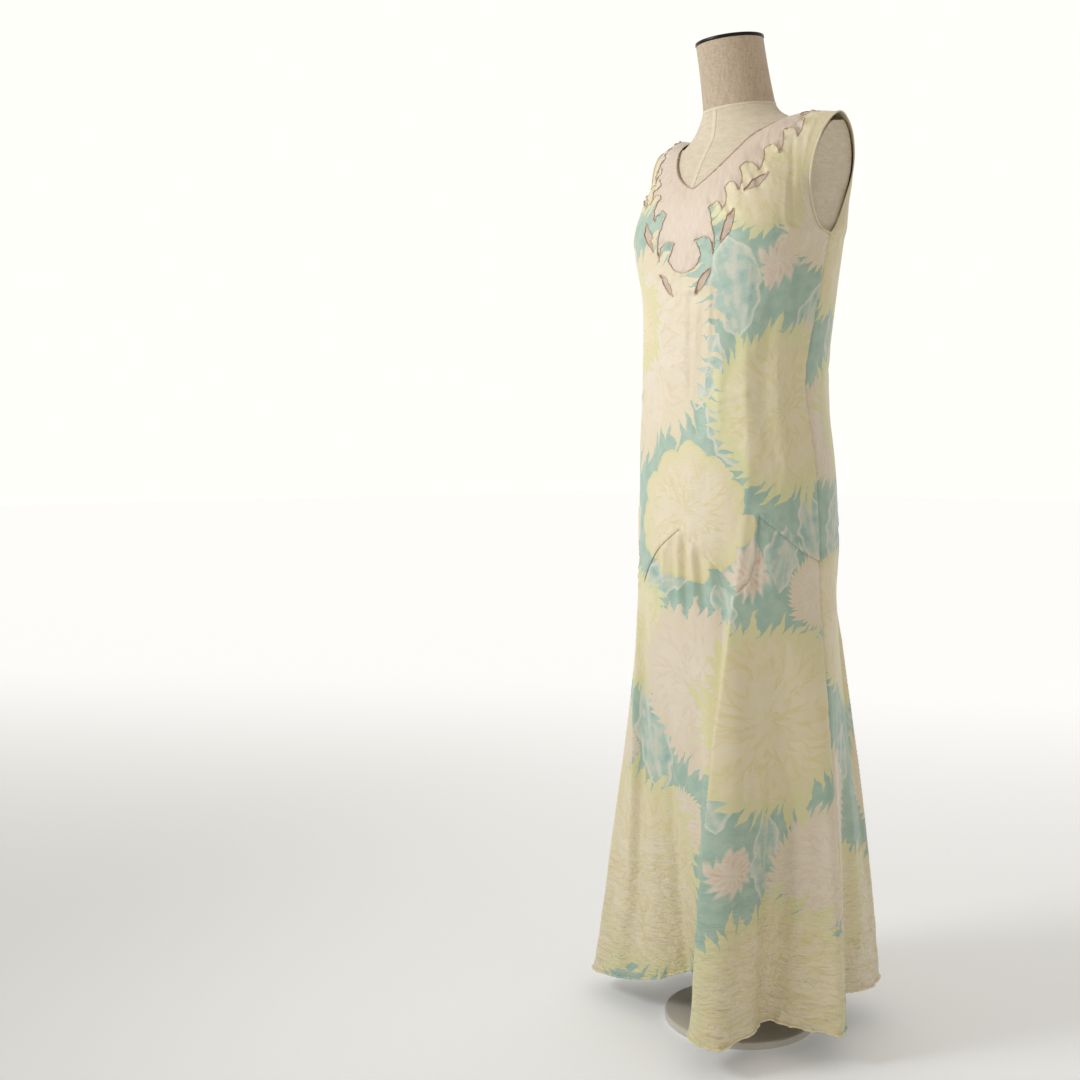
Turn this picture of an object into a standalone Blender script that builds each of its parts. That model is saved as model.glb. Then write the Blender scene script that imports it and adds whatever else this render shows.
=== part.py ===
"""A sleeveless bias-cut silk evening dress, standing on a limbless dress form.

Metres, +Z up. The origin is the centre of the stand's underside. The dress faces -Y, so the
wearer's left is +X. A place on the cloth is given by its turn, in degrees round the body from
the centre front towards the wearer's left, and its level, which is its height below the
underarm and goes on over the shoulder above it.
"""

import math
from collections import namedtuple

import bmesh
import bpy
from mathutils import Vector
from mathutils.geometry import delaunay_2d_cdt

# Cloth and seams
WALL = 0.0015
SHEER_WALL = 0.0010
SEAM_GAP = 0.0003
SEAM_TURN = 0.07
LAYER_GAP = 0.0014
SMALLEST_AREA = 1e-8
SHORTEST_EDGE = 0.0078
SEAM_STEP = 0.015

# Levels
UNDERARM = 1.146
SHOULDER = 1.376
ARMHOLE_RISE = SHOULDER - UNDERARM
ROUNDING_LEVEL = 1.300

# Neckline
V_LEVEL = 1.219
NECK_TURN_LEFT = 49.0
NECK_TURN_RIGHT = 55.0
BACK_NECK_LEVEL = 1.304

# Skirt
FOLD_START = 0.650
HEM_LEVEL = 0.045
FLARE = 1.28

# Bust
BUST_FULLNESS = 0.014
BUST_LEVEL = 1.165
BUST_SPREAD = 0.075

# The cloth hangs a little round to the wearer's left at the centre front, in degrees.
TWIST = 2.2

# Yoke and its applied leaf edge
LOBE_LEVEL = 1.095
LOBE_HALF_WIDTH = 0.031
LOBE_WIDEST_LEVEL = 1.115
YOKE_END_TURN = 68.0
BIB_END_TURN = 79.0
BIB_LEVEL = 1.045
CORD_WIDTH = 0.0024
CORD_HEIGHT = 0.0011
CORD_INSET = 0.0020

# Bindings and placket
BINDING_WIDTH = 0.0042
BINDING_HEIGHT = 0.0010
TRIM_LIFT = 0.0010
PLACKET_TURN = 4.5
PLACKET_BOTTOM = 0.915
PLACKET_TOP = 1.120

# Dress form
FORM_CLEARANCE = 0.0064
FORM_SHOULDER_STEP = 0.70
FORM_PLATE_RISE = 0.19
NECK_FLARE = 2.6
NECK_BASE_RADIUS = 0.0535
NECK_BASE_CENTRE = Vector((0, 0.001, 1.349))
NECK_TOP_RADIUS = 0.0495
NECK_TOP_CENTRE = Vector((0, -0.020, 1.443))
NECK_TILT = math.radians(8)
CAP_RADIUS = 0.0505
CAP_RIM = 0.0050
CAP_CROWN = 0.0035
TORSO_BOTTOM = 0.700
POLE_RADIUS = 0.0125
BASE_RADIUS = 0.110
BASE_HEIGHT = 0.012
BASE_BEVEL = 0.003

# Half sizes of the dress below the underarm; side is how far back the side seams lie.
Level = namedtuple("Level", "height left right front back side")
LEVELS = (
    Level(0.020, 0.187, 0.174, 0.138, 0.146, 0.000),
    Level(0.640, 0.152, 0.160, 0.132, 0.124, 0.000),
    Level(0.720, 0.152, 0.163, 0.134, 0.129, 0.000),
    Level(0.820, 0.148, 0.158, 0.132, 0.129, -0.004),
    Level(0.940, 0.137, 0.152, 0.126, 0.126, -0.012),
    Level(1.050, 0.150, 0.156, 0.124, 0.122, -0.002),
    Level(1.146, 0.163, 0.163, 0.123, 0.126, 0.008),
)

# The cloth over the shoulder: its armhole edge and its centre line, from the front underarm
# (step 0) over the shoulder seam (step 1) to the back underarm (step 2).
Over = namedtuple("Over", "step edge_x edge_y edge_z mid_y mid_z")
OVER_SHOULDER = (
    Over(0.00, 0.163, 0.008, 1.146, -0.123, 1.146),
    Over(0.09, 0.160, -0.010, 1.154, -0.120, 1.166),
    Over(0.21, 0.158, -0.022, 1.177, -0.114, 1.196),
    Over(0.375, 0.158, -0.028, 1.209, -0.103, 1.233),
    Over(0.55, 0.160, -0.025, 1.246, -0.085, 1.269),
    Over(0.775, 0.167, -0.010, 1.290, -0.052, 1.308),
    Over(1.00, 0.173, 0.016, 1.315, 0.010, 1.334),
    Over(1.18, 0.172, 0.043, 1.306, 0.064, 1.321),
    Over(1.37, 0.168, 0.060, 1.275, 0.102, 1.286),
    Over(1.54, 0.164, 0.062, 1.237, 0.120, 1.248),
    Over(1.72, 0.161, 0.047, 1.195, 0.127, 1.211),
    Over(1.88, 0.161, 0.028, 1.162, 0.128, 1.176),
    Over(2.00, 0.163, 0.008, 1.146, 0.126, 1.146),
)

# The hem seen from above: folds out and in, with the hem's height off the floor at each.
Fold = namedtuple("Fold", "turn reach hem")
FOLDS = (
    Fold(-112, 0.220, 0.042),
    Fold(-92, 0.165, 0.045),
    Fold(-70, 0.238, 0.031),
    Fold(-50, 0.160, 0.046),
    Fold(-20, 0.074, 0.078),
    Fold(7, 0.092, 0.072),
    Fold(21, 0.178, 0.045),
    Fold(33, 0.209, 0.041),
    Fold(47, 0.158, 0.042),
    Fold(62, 0.125, 0.048),
    Fold(76, 0.170, 0.047),
    Fold(86, 0.202, 0.045),
    Fold(100, 0.168, 0.048),
    Fold(118, 0.142, 0.056),
    Fold(132, 0.186, 0.054),
    Fold(144, 0.213, 0.053),
    Fold(158, 0.176, 0.052),
    Fold(172, 0.150, 0.054),
    Fold(190, 0.200, 0.045),
    Fold(206, 0.218, 0.044),
    Fold(222, 0.165, 0.050),
    Fold(234, 0.150, 0.052),
)

# The pointed hip seam over a quarter of the body, from a centre to a side.
SeamPoint = namedtuple("SeamPoint", "turn level")
HIP_SEAM = (
    SeamPoint(0.0, 0.730),
    SeamPoint(15.0, 0.702),
    SeamPoint(28.0, 0.668),
    SeamPoint(36.0, 0.647),
    SeamPoint(42.0, 0.664),
    SeamPoint(45.5, 0.692),
    SeamPoint(48.0, 0.752),
    SeamPoint(54.0, 0.740),
    SeamPoint(65.0, 0.719),
    SeamPoint(75.0, 0.701),
    SeamPoint(90.0, 0.686),
)

# The leaf edge of the print over the yoke: each tongue's foot and its hooked tip, as distance
# from the centre front and level, and how far its outer side bows.
Tongue = namedtuple("Tongue", "foot_x foot_level tip_x tip_level bow")
TONGUES = (
    Tongue(0.052, 1.116, 0.041, 1.183, 0.006),
    Tongue(0.066, 1.178, 0.061, 1.212, 0.006),
    Tongue(0.084, 1.208, 0.077, 1.242, 0.006),
    Tongue(0.103, 1.242, 0.099, 1.277, 0.006),
    Tongue(0.121, 1.271, 0.115, 1.311, 0.006),
    Tongue(0.136, 1.302, 0.122, 1.350, 0.015),
)
LOBE_TIP = (0.019, 1.139)
TONGUE_ARCH = 0.011
CURVE_STEPS = 4

# Leaf-shaped openings in the print, foot to tip.
Leaf = namedtuple("Leaf", "name foot_x foot_level tip_x tip_level width")
LEAVES = (
    Leaf("low", 0.021, 1.063, 0.048, 1.098, 0.013),
    Leaf("middle", 0.064, 1.131, 0.085, 1.181, 0.014),
    Leaf("high", 0.093, 1.207, 0.117, 1.239, 0.012),
)

# Half sizes of the form inside the dress, up to the underarm.
FormLevel = namedtuple("FormLevel", "height side front back")
FORM_LEVELS = (
    FormLevel(0.700, 0.146, 0.112, 0.116),
    FormLevel(0.780, 0.147, 0.108, 0.118),
    FormLevel(0.860, 0.132, 0.096, 0.104),
    FormLevel(0.940, 0.118, 0.090, 0.090),
    FormLevel(1.020, 0.130, 0.100, 0.096),
    FormLevel(1.090, 0.148, 0.120, 0.108),
)


def clear_scene():
    for leftover in list(bpy.data.objects):
        bpy.data.objects.remove(leftover, do_unlink=True)


def finish_material(name, colour, roughness, metallic=0.0):
    material = bpy.data.materials.new(name)
    material.use_nodes = True
    shader = material.node_tree.nodes["Principled BSDF"]
    shader.inputs["Base Color"].default_value = (*colour, 1.0)
    shader.inputs["Roughness"].default_value = roughness
    shader.inputs["Metallic"].default_value = metallic
    return material


def curve_through(rows, at, loop=None):
    """The row at a place in the first column, on a smooth curve through the rows.

    A loop is the first column's length where the rows go round and meet.
    """
    rows = [tuple(row) for row in rows]
    if loop:
        at = rows[0][0] + (at - rows[0][0]) % loop
        before = [tuple([row[0] - loop, *row[1:]]) for row in rows[-2:]]
        after = [tuple([row[0] + loop, *row[1:]]) for row in rows[:2]]
        rows = before + rows + after
    at = min(max(at, rows[0][0]), rows[-1][0])
    last = len(rows) - 1
    index = next(i for i in range(last) if at <= rows[i + 1][0])
    start, end = rows[index], rows[index + 1]
    span = end[0] - start[0]
    part = (at - start[0]) / span
    values = []
    for column in range(1, len(start)):
        slopes = []
        for place in (index, index + 1):
            low, high = rows[max(place - 1, 0)], rows[min(place + 1, last)]
            slopes.append((high[column] - low[column]) / (high[0] - low[0]) * span)
        change = end[column] - start[column]
        values.append(
            start[column]
            + slopes[0] * part
            + (3 * change - 2 * slopes[0] - slopes[1]) * part**2
            + (slopes[0] + slopes[1] - 2 * change) * part**3
        )
    return values


def line_through(rows, at):
    """The second column at a place in the first, on straight lines between the rows."""
    for start, end in zip(rows, rows[1:]):
        if at <= end[0]:
            return start[1] + (end[1] - start[1]) * (at - start[0]) / (end[0] - start[0])
    return rows[-1][1]


def upper_cloth(turn, step):
    """The cloth above the underarm; turn is counted from the front or the back centre."""
    edge_x, edge_y, edge_z, mid_y, mid_z = curve_through(OVER_SHOULDER, step)
    flatness = math.sin(math.pi * step / 2) ** 2
    angle = math.radians(turn)
    across = (1 - flatness) * math.sin(angle) + flatness * turn / 90
    depth = (1 - flatness) * math.cos(angle) + flatness * (1 - across**2)
    y = edge_y + (mid_y - edge_y) * depth
    z = edge_z + (mid_z - edge_z) * (1 - across**2)
    return Vector((edge_x * across, y, z))


def lower_cloth(turn, height, back):
    """The cloth below the underarm; turn is counted from the front or the back centre."""
    left, right, front, rear, side = curve_through(LEVELS, height)
    angle = math.radians(turn)
    width = left if turn > 0 else right
    depth = rear if back else -front
    y = side * (1 - math.cos(angle)) + depth * math.cos(angle)
    point = Vector((width * math.sin(angle), y, height))
    if height < FOLD_START:
        round_turn = 180 - turn if back else turn
        reach, _ = curve_through(FOLDS, round_turn, 360)
        share = ((FOLD_START - height) / (FOLD_START - HEM_LEVEL)) ** FLARE
        around = math.radians(round_turn)
        folded = Vector((reach * math.sin(around), -reach * math.cos(around), height))
        point = point.lerp(folded, share)
    return point


def bust(turn, height):
    """How far the bust pushes the front of the cloth out, level with the floor."""
    angle = math.radians(turn)
    nearness = math.exp(-(((height - BUST_LEVEL) / BUST_SPREAD) ** 2))
    push = BUST_FULLNESS * math.sin(2 * angle) ** 2 * nearness
    return Vector((math.sin(angle), -math.cos(angle), 0)) * push


def cloth(turn, level, back):
    """A place on the middle of the cloth, with turns of 90 to 270 degrees on the back."""
    own_turn = 180 - turn if back else turn
    if level <= UNDERARM:
        point = lower_cloth(own_turn, level, back)
    else:
        step = (level - UNDERARM) / ARMHOLE_RISE
        point = upper_cloth(own_turn, 2 - step if back else step)
    return point if back else point + bust(turn, point.z)


def outward(turn, level, back):
    across = cloth(turn + 0.4, level, back) - cloth(turn - 0.4, level, back)
    up = cloth(turn, level + 0.001, back) - cloth(turn, level - 0.001, back)
    return across.cross(up).normalized()


def turn_at(x, level):
    """The front turn whose place at this level lies x from the centre."""
    low, high = 0.0, 90.0
    for _ in range(30):
        middle = (low + high) / 2
        if cloth(middle, level, False).x < x:
            low = middle
        else:
            high = middle
    return (low + high) / 2


def hem_height(turn):
    return curve_through(FOLDS, turn, 360)[1]


def seam_level(turn):
    from_centre = abs((turn + 180) % 360 - 180)
    return line_through(HIP_SEAM, min(from_centre, 180 - from_centre))


# Outlines, as (turn, level) points


def scaled(outline):
    """Turns drawn at 3 mm a degree, so that both directions are in metres."""
    return [Vector((turn * 0.003, level)) for turn, level in outline]


def unscaled(points):
    return [(point.x / 0.003, point.y) for point in points]


def moved(outline, distance, closed=False):
    """The outline moved to the left of its own direction."""
    points = scaled(outline)
    count = len(points)
    result = []
    for i, point in enumerate(points):
        before = points[i - 1] if i or closed else None
        after = points[(i + 1) % count] if i < count - 1 or closed else None
        sides = []
        if before is not None:
            sides.append((point - before).orthogonal().normalized())
        if after is not None:
            sides.append((after - point).orthogonal().normalized())
        side = sum(sides, Vector((0, 0))).normalized()
        stretch = 1 / max(side.dot(sides[0]), 0.5)
        result.append(point + side * distance * stretch)
    return unscaled(result)


def split(outline, longest):
    """The same outline, with a point at least every so often."""
    points = []
    for start, end in zip(outline, outline[1:]):
        a, b = scaled([start, end])
        pieces = math.ceil((b - a).length / longest)
        points += [a.lerp(b, i / pieces) for i in range(pieces)]
    return unscaled(points) + [outline[-1]]


def bend(start, end, bulge, steps=CURVE_STEPS):
    """Points from start up to, and without, end, bulging to the left."""
    start, end = scaled([start, end])
    side = (end - start).orthogonal().normalized() * bulge
    points = []
    for i in range(steps):
        part = i / steps
        points.append(start.lerp(end, part) + side * 4 * part * (1 - part))
    return unscaled(points)


def twisted(outline):
    """A front outline as it hangs, brought round most at the centre front."""
    return [(turn + TWIST * math.cos(math.radians(turn)), level) for turn, level in outline]


def from_centre(x, level):
    return (turn_at(x, level), level)


def leaf_edge():
    """The print's hooked edge on the wearer's left, from the shoulder to the centre front."""
    points = [(YOKE_END_TURN, SHOULDER - SEAM_GAP / 2)]
    last_foot = None
    for tongue in reversed(TONGUES):
        tip = from_centre(tongue.tip_x, tongue.tip_level)
        foot = from_centre(tongue.foot_x, tongue.foot_level)
        if last_foot:
            points += bend(last_foot, tip, -TONGUE_ARCH)
        points += bend(tip, foot, tongue.bow)
        last_foot = foot
    lobe_tip = from_centre(*LOBE_TIP)
    points += bend(last_foot, lobe_tip, -TONGUE_ARCH * 1.4)
    widest = from_centre(LOBE_HALF_WIDTH, LOBE_WIDEST_LEVEL)
    points += bend(lobe_tip, widest, 0.003, 3)
    points += bend(widest, (0.0, LOBE_LEVEL), 0.005)
    return points


def whole_leaf_edge():
    """From the wearer's left shoulder down round the centre lobe to the right shoulder."""
    left = leaf_edge()
    right = [(-turn, level) for turn, level in reversed(left)]
    return twisted(left + [(0.0, LOBE_LEVEL)] + right)


def leaf_outline(leaf, side):
    foot = from_centre(leaf.foot_x, leaf.foot_level)
    tip = from_centre(leaf.tip_x, leaf.tip_level)
    outline = bend(foot, tip, -leaf.width / 2, 6) + bend(tip, foot, -leaf.width / 2, 6)
    return twisted([(side * turn, level) for turn, level in outline])[::side]


def neckline(back, steps=14):
    """From the wearer's left neck point round to the right neck point, on the front or back."""
    points = []
    for i in range(-steps, steps + 1):
        part = i / steps
        reach = NECK_TURN_RIGHT if part > 0 else NECK_TURN_LEFT
        if back:
            level = BACK_NECK_LEVEL + (SHOULDER - BACK_NECK_LEVEL) * abs(part) ** 2.2
            points.append((180 + reach * math.copysign(abs(part) ** 0.9, part), level))
        else:
            level = V_LEVEL + (SHOULDER - V_LEVEL) * abs(part) ** 1.45
            points.append((-reach * part, level))
    return points if back else twisted(points)


# Solids


def object_from(bm, name, material):
    bmesh.ops.recalc_face_normals(bm, faces=bm.faces)
    mesh = bpy.data.meshes.new(name)
    bm.to_mesh(mesh)
    bm.free()
    mesh.shade_smooth()
    mesh.set_sharp_from_angle(angle=math.radians(40))
    mesh.materials.append(material)
    piece = bpy.data.objects.new(name, mesh)
    bpy.context.scene.collection.objects.link(piece)
    return piece


def inside(point, loops):
    crossings = 0
    for loop in loops:
        for a, b in zip(loop, loop[1:] + loop[:1]):
            if (a.y > point.y) != (b.y > point.y):
                crossings += point.x < a.x + (point.y - a.y) / (b.y - a.y) * (b.x - a.x)
    return crossings % 2 == 1


def distance_to(point, loops):
    nearest = 1.0
    for loop in loops:
        for a, b in zip(loop, loop[1:] + loop[:1]):
            run = b - a
            part = max(0.0, min(1.0, (point - a).dot(run) / max(run.length_squared, 1e-12)))
            nearest = min(nearest, (point - a - run * part).length)
    return nearest


def refine(loop, columns, rows):
    """The same outline, cut where it crosses the lattice."""
    points = []
    for a, b in zip(loop, loop[1:] + loop[:1]):
        run = b - a
        parts = {0.0}
        for lines, start, change in ((columns, a.x, run.x), (rows, a.y, run.y)):
            parts |= {(line - start) / change for line in lines if abs(change) > 1e-9}
        shortest = SHORTEST_EDGE / max(run.length, SHORTEST_EDGE)
        last = 0.0
        points.append(a)
        for part in sorted(parts):
            if part - last > shortest and 1 - part > shortest:
                points.append(a + run * part)
                last = part
    return points


def kept(corners, loops):
    """Whether a triangle is in the panel and has any area."""
    a, b, c = corners
    if abs((b - a).cross(c - a)) < SMALLEST_AREA:
        return False
    return inside((a + b + c) / 3, loops)


def lattice(values, spacing):
    """Every multiple of the spacing in the range, so that layers share their grid."""
    first, last = math.ceil(min(values) / spacing), math.floor(max(values) / spacing)
    return [i * spacing for i in range(first, last + 1)]


def panel(name, loops, material, back=False, wall=WALL, lift=0.0, across=0.0225, up=0.0225):
    """A cloth wall over the outlines, the first its edge and the others openings in it."""
    loops = [scaled(loop) for loop in loops]
    heights = [point.y for point in loops[0]]
    columns = lattice([point.x for point in loops[0]], across)
    rows = set(lattice(heights, up))
    if max(heights) > ROUNDING_LEVEL:
        rows |= set(lattice([ROUNDING_LEVEL, max(heights)], up / 2))
    loops = [refine(loop, columns, sorted(rows)) for loop in loops]
    points, edges = [], []
    for loop in loops:
        first = len(points)
        points += loop
        edges += [(first + i, first + (i + 1) % len(loop)) for i in range(len(loop))]
    for column in columns:
        for row in sorted(rows):
            spot = Vector((column, row))
            if inside(spot, loops) and distance_to(spot, loops) > 0.42 * min(across, up):
                points.append(spot)
    flat, _, triangles = delaunay_2d_cdt(points, edges, [], 0, 1e-6)[:3]
    triangles = [face for face in triangles if kept([flat[i] for i in face], loops)]
    bm = bmesh.new()
    outer, inner = [], []
    for turn, level in unscaled(flat):
        middle = cloth(turn, level, back)
        normal = outward(turn, level, back)
        outer.append(bm.verts.new(middle + normal * (lift + wall / 2)))
        inner.append(bm.verts.new(middle + normal * (lift - wall / 2)))
    borders = {}
    for face in triangles:
        bm.faces.new([outer[i] for i in face])
        bm.faces.new([inner[i] for i in reversed(face)])
        for a, b in zip(face, face[1:] + face[:1]):
            borders[(a, b)] = (b, a) not in borders
            if not borders[(a, b)]:
                borders[(b, a)] = False
    for (a, b), open_edge in borders.items():
        if open_edge:
            bm.faces.new([outer[b], outer[a], inner[a], inner[b]])
    loose = [vert for vert in bm.verts if not vert.link_faces]
    bmesh.ops.delete(bm, geom=loose, context="VERTS")
    return object_from(bm, name, material)


def band(name, sections, material, closed=False):
    """A strip whose sections are each four points round."""
    bm = bmesh.new()
    rings = [[bm.verts.new(point) for point in section] for section in sections]
    pairs = list(zip(rings, rings[1:]))
    if closed:
        pairs.append((rings[-1], rings[0]))
    else:
        bm.faces.new(rings[0])
        bm.faces.new(rings[-1])
    for one, other in pairs:
        for i in range(len(one)):
            j = (i + 1) % len(one)
            bm.faces.new([one[i], one[j], other[j], other[i]])
    return object_from(bm, name, material)


def applied_cord(name, outline, material, closed=False):
    """A flat cord sewn on the print along an outline."""
    near = moved(outline, CORD_WIDTH / 2, closed)
    far = moved(outline, -CORD_WIDTH / 2, closed)
    base = WALL / 2 + TRIM_LIFT
    sections = []
    for place, other in zip(near, far):
        corners = []
        for (turn, level), lift in (
            (place, base),
            (other, base),
            (other, base + CORD_HEIGHT),
            (place, base + CORD_HEIGHT),
        ):
            corners.append(cloth(turn, level, False) + outward(turn, level, False) * lift)
        sections.append(corners)
    return band(name, sections, material, closed)


def edge_binding(name, places, normals, material, base, closed=False, flip=1):
    """A flat binding on the cloth beside an edge; flip turns it to the edge's other side."""
    count = len(places)
    sections = []
    for i, (place, normal) in enumerate(zip(places, normals)):
        before = places[i - 1] if i or closed else place
        after = places[(i + 1) % count] if i < count - 1 or closed else place
        sides = []
        for run in (place - before, after - place):
            if run.length > 1e-6:
                sides.append(normal.cross(run).normalized() * flip)
        side = sum(sides, Vector()).normalized()
        side *= BINDING_WIDTH / max(side.dot(sides[0]), 0.5)
        low = place + normal * base
        high = low + normal * BINDING_HEIGHT
        sections.append([low, low + side, high + side, high])
    return band(name, sections, material, closed)


def armhole_binding(name, side, material):
    places, normals = [], []
    steps = 44
    for i in range(steps):
        step = 2 * (i + 0.5) / steps
        back = step > 1
        level = UNDERARM + ARMHOLE_RISE * (2 - step if back else step)
        turn = 90 + SEAM_TURN if back else 90 - SEAM_TURN
        place = cloth(turn, level, back)
        normal = outward(turn, level, back)
        places.append(Vector((side * place.x, place.y, place.z)))
        normals.append(Vector((side * normal.x, normal.y, normal.z)))
    base = WALL / 2 + TRIM_LIFT
    return edge_binding(name, places, normals, material, base, closed=True, flip=side)


def neck_binding(name, back, material, base):
    outline = neckline(back)
    outline = [(turn, min(level, SHOULDER - SEAM_GAP / 2)) for turn, level in outline]
    places = [cloth(turn, level, back) for turn, level in outline]
    normals = [outward(turn, level, back) for turn, level in outline]
    return edge_binding(name, places, normals, material, base, flip=1 if not back else -1)


def ring_stack(name, rings, material):
    """A closed solid through rings of points, flat at both ends."""
    bm = bmesh.new()
    loops = [[bm.verts.new(point) for point in ring] for ring in rings]
    bm.faces.new(loops[0])
    bm.faces.new(loops[-1])
    for low, high in zip(loops, loops[1:]):
        for i in range(len(low)):
            j = (i + 1) % len(low)
            bm.faces.new([low[i], low[j], high[j], high[i]])
    bmesh.ops.remove_doubles(bm, verts=bm.verts, dist=0.00002)
    bmesh.ops.dissolve_degenerate(bm, edges=bm.edges, dist=0.00002)
    return object_from(bm, name, material)


def round_ring(centre, radius, tilt=0.0, sides=34):
    """A ring of points from the wearer's right over the front to the left and back."""
    points = []
    for i in range(sides):
        half = i // (sides // 2)
        turn = math.radians(-90 + 180 * (i % (sides // 2)) / (sides // 2 - 1))
        x, y = radius * math.sin(turn), -radius * math.cos(turn)
        if half:
            x, y = -x, -y
        points.append(Vector((x, y * math.cos(tilt), y * math.sin(tilt))) + centre)
    return points


# The dress form


def form_level_ring(height):
    side, front, back = curve_through(FORM_LEVELS, height)
    points = []
    for i in range(34):
        turn = math.radians(-90 + 180 * (i % 17) / 16)
        if i < 17:
            points.append(Vector((side * math.sin(turn), -front * math.cos(turn), height)))
        else:
            points.append(Vector((-side * math.sin(turn), back * math.cos(turn), height)))
    return points


def form_shoulder_ring(step):
    """A ring just inside the cloth, rising to its ends at the form's flat arm plates."""
    points = []
    for i in range(34):
        back = i >= 17
        turn = -90 + 180 * (i % 17) / 16
        rise = FORM_PLATE_RISE * (step / FORM_SHOULDER_STEP) ** 2 * (turn / 90) ** 2
        level = UNDERARM + ARMHOLE_RISE * (step + rise)
        if back:
            turn += 180
        points.append(
            cloth(turn, level, back) - outward(turn, level, back) * FORM_CLEARANCE
        )
    return points


def make_form(linen, neck_linen, cap_finish, enamel):
    rings = [form_level_ring(height) for height in (0.70, 0.74, 0.78, 0.82, 0.86, 0.90)]
    rings += [form_level_ring(height) for height in (0.94, 0.98, 1.02, 1.06, 1.09)]
    rings += [form_shoulder_ring(step) for step in (0.0, 0.08, 0.18, 0.29, 0.40, 0.51, 0.62)]
    shoulder = form_shoulder_ring(FORM_SHOULDER_STEP)
    neck = round_ring(NECK_BASE_CENTRE, NECK_BASE_RADIUS, NECK_TILT)
    for share in (0.0, 0.2, 0.4, 0.6, 0.8, 0.92, 1.0):
        ring = []
        for low, high in zip(shoulder, neck):
            point = low.lerp(high, share)
            point.z = low.z + (high.z - low.z) * share**NECK_FLARE
            ring.append(point)
        rings.append(ring)
    ring_stack("form_torso", rings, linen)

    up = Vector((0, -math.sin(NECK_TILT), math.cos(NECK_TILT)))
    rings = []
    for share in (0.0, 0.25, 0.5, 0.75, 1.0):
        centre = NECK_BASE_CENTRE.lerp(NECK_TOP_CENTRE, share)
        waist = (1 - share) ** 2
        radius = NECK_TOP_RADIUS + (NECK_BASE_RADIUS - NECK_TOP_RADIUS) * waist
        rings.append(round_ring(centre + up * SEAM_GAP, radius, NECK_TILT))
    ring_stack("form_neck", rings, neck_linen)

    rings = []
    for radius, rise in (
        (CAP_RADIUS - 0.0008, 0.0),
        (CAP_RADIUS, 0.0008),
        (CAP_RADIUS, CAP_RIM - 0.0012),
        (CAP_RADIUS - 0.0012, CAP_RIM),
        (CAP_RADIUS * 0.7, CAP_RIM + CAP_CROWN * 0.5),
        (CAP_RADIUS * 0.3, CAP_RIM + CAP_CROWN),
    ):
        lifted = NECK_TOP_CENTRE + up * (2 * SEAM_GAP + rise)
        rings.append(round_ring(lifted, radius, NECK_TILT))
    ring_stack("form_neck_cap", rings, cap_finish)

    bm = bmesh.new()
    bottom, top = BASE_HEIGHT + SEAM_GAP, TORSO_BOTTOM - SEAM_GAP
    bmesh.ops.create_cone(
        bm, cap_ends=True, segments=24, radius1=POLE_RADIUS, radius2=POLE_RADIUS, depth=top - bottom
    )
    bmesh.ops.translate(bm, verts=bm.verts, vec=Vector((0, 0, (top + bottom) / 2)))
    object_from(bm, "form_pole", enamel)

    rings = [
        round_ring(Vector((0, 0, 0)), BASE_RADIUS),
        round_ring(Vector((0, 0, BASE_HEIGHT - BASE_BEVEL)), BASE_RADIUS),
        round_ring(Vector((0, 0, BASE_HEIGHT)), BASE_RADIUS - BASE_BEVEL),
    ]
    ring_stack("form_base", rings, enamel)


# The dress


def side_edges(back):
    """The turns of a panel's two side edges, clear of the seams by half the gap."""
    if back:
        return 90 + SEAM_TURN, 270 - SEAM_TURN
    return -90 + SEAM_TURN, 90 - SEAM_TURN


def seam_line(back, clearance):
    """The hip seam from one side edge to the other, moved up by the clearance."""
    first, last = side_edges(back)
    centre = 180 if back else 0
    turns = {first, last}
    for place in HIP_SEAM[:-1]:
        turns |= {centre - place.turn, centre + place.turn}
    line = [(turn, seam_level(turn)) for turn in sorted(turns)]
    if not back:
        line = twisted(line)
    line = split(line, SEAM_STEP)
    line = moved(line, clearance)
    line[0], line[-1] = (first, line[0][1]), (last, line[-1][1])
    return line


def make_bodice(print_silk):
    top = SHOULDER - SEAM_GAP / 2
    first, last = side_edges(False)
    front = seam_line(False, SEAM_GAP / 2) + [(last, UNDERARM), (last, top)]
    front += whole_leaf_edge() + [(first, top), (first, UNDERARM)]
    openings = [leaf_outline(leaf, side) for leaf in LEAVES for side in (1, -1)]
    panel("dress_front_bodice", [front, *openings], print_silk)

    first, last = side_edges(True)
    back = seam_line(True, SEAM_GAP / 2) + [(last, UNDERARM), (last, top)]
    neck = [(turn, min(level, top)) for turn, level in neckline(True)]
    back += neck[::-1] + [(first, top), (first, UNDERARM)]
    panel("dress_back_bodice", [back], print_silk, back=True, across=0.045, up=0.034)


def make_skirt(print_silk):
    for name, back in (("dress_front_skirt", False), ("dress_back_skirt", True)):
        first, last = side_edges(back)
        steps = 32
        hem = []
        for i in range(steps + 1):
            turn = last + (first - last) * i / steps
            hem.append((turn, hem_height(turn)))
        outline = seam_line(back, -SEAM_GAP / 2) + hem
        panel(name, [outline], print_silk, back=back, across=0.018, up=0.075)


def make_yoke(sheer_silk):
    top = SHOULDER - SEAM_GAP / 2
    left = [
        (BIB_END_TURN, top),
        (78.0, 1.300),
        (68.0, 1.258),
        (52.0, 1.190),
        (34.0, 1.115),
        (16.0, 1.062),
    ]
    right = [(-turn, level) for turn, level in left]
    neck = [(turn, min(level, top)) for turn, level in neckline(False)]
    outline = left[::-1] + neck + right + [(0.0, BIB_LEVEL)]
    lift = -(WALL / 2 + LAYER_GAP + SHEER_WALL / 2)
    panel("dress_yoke", [outline], sheer_silk, wall=SHEER_WALL, lift=lift)


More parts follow.
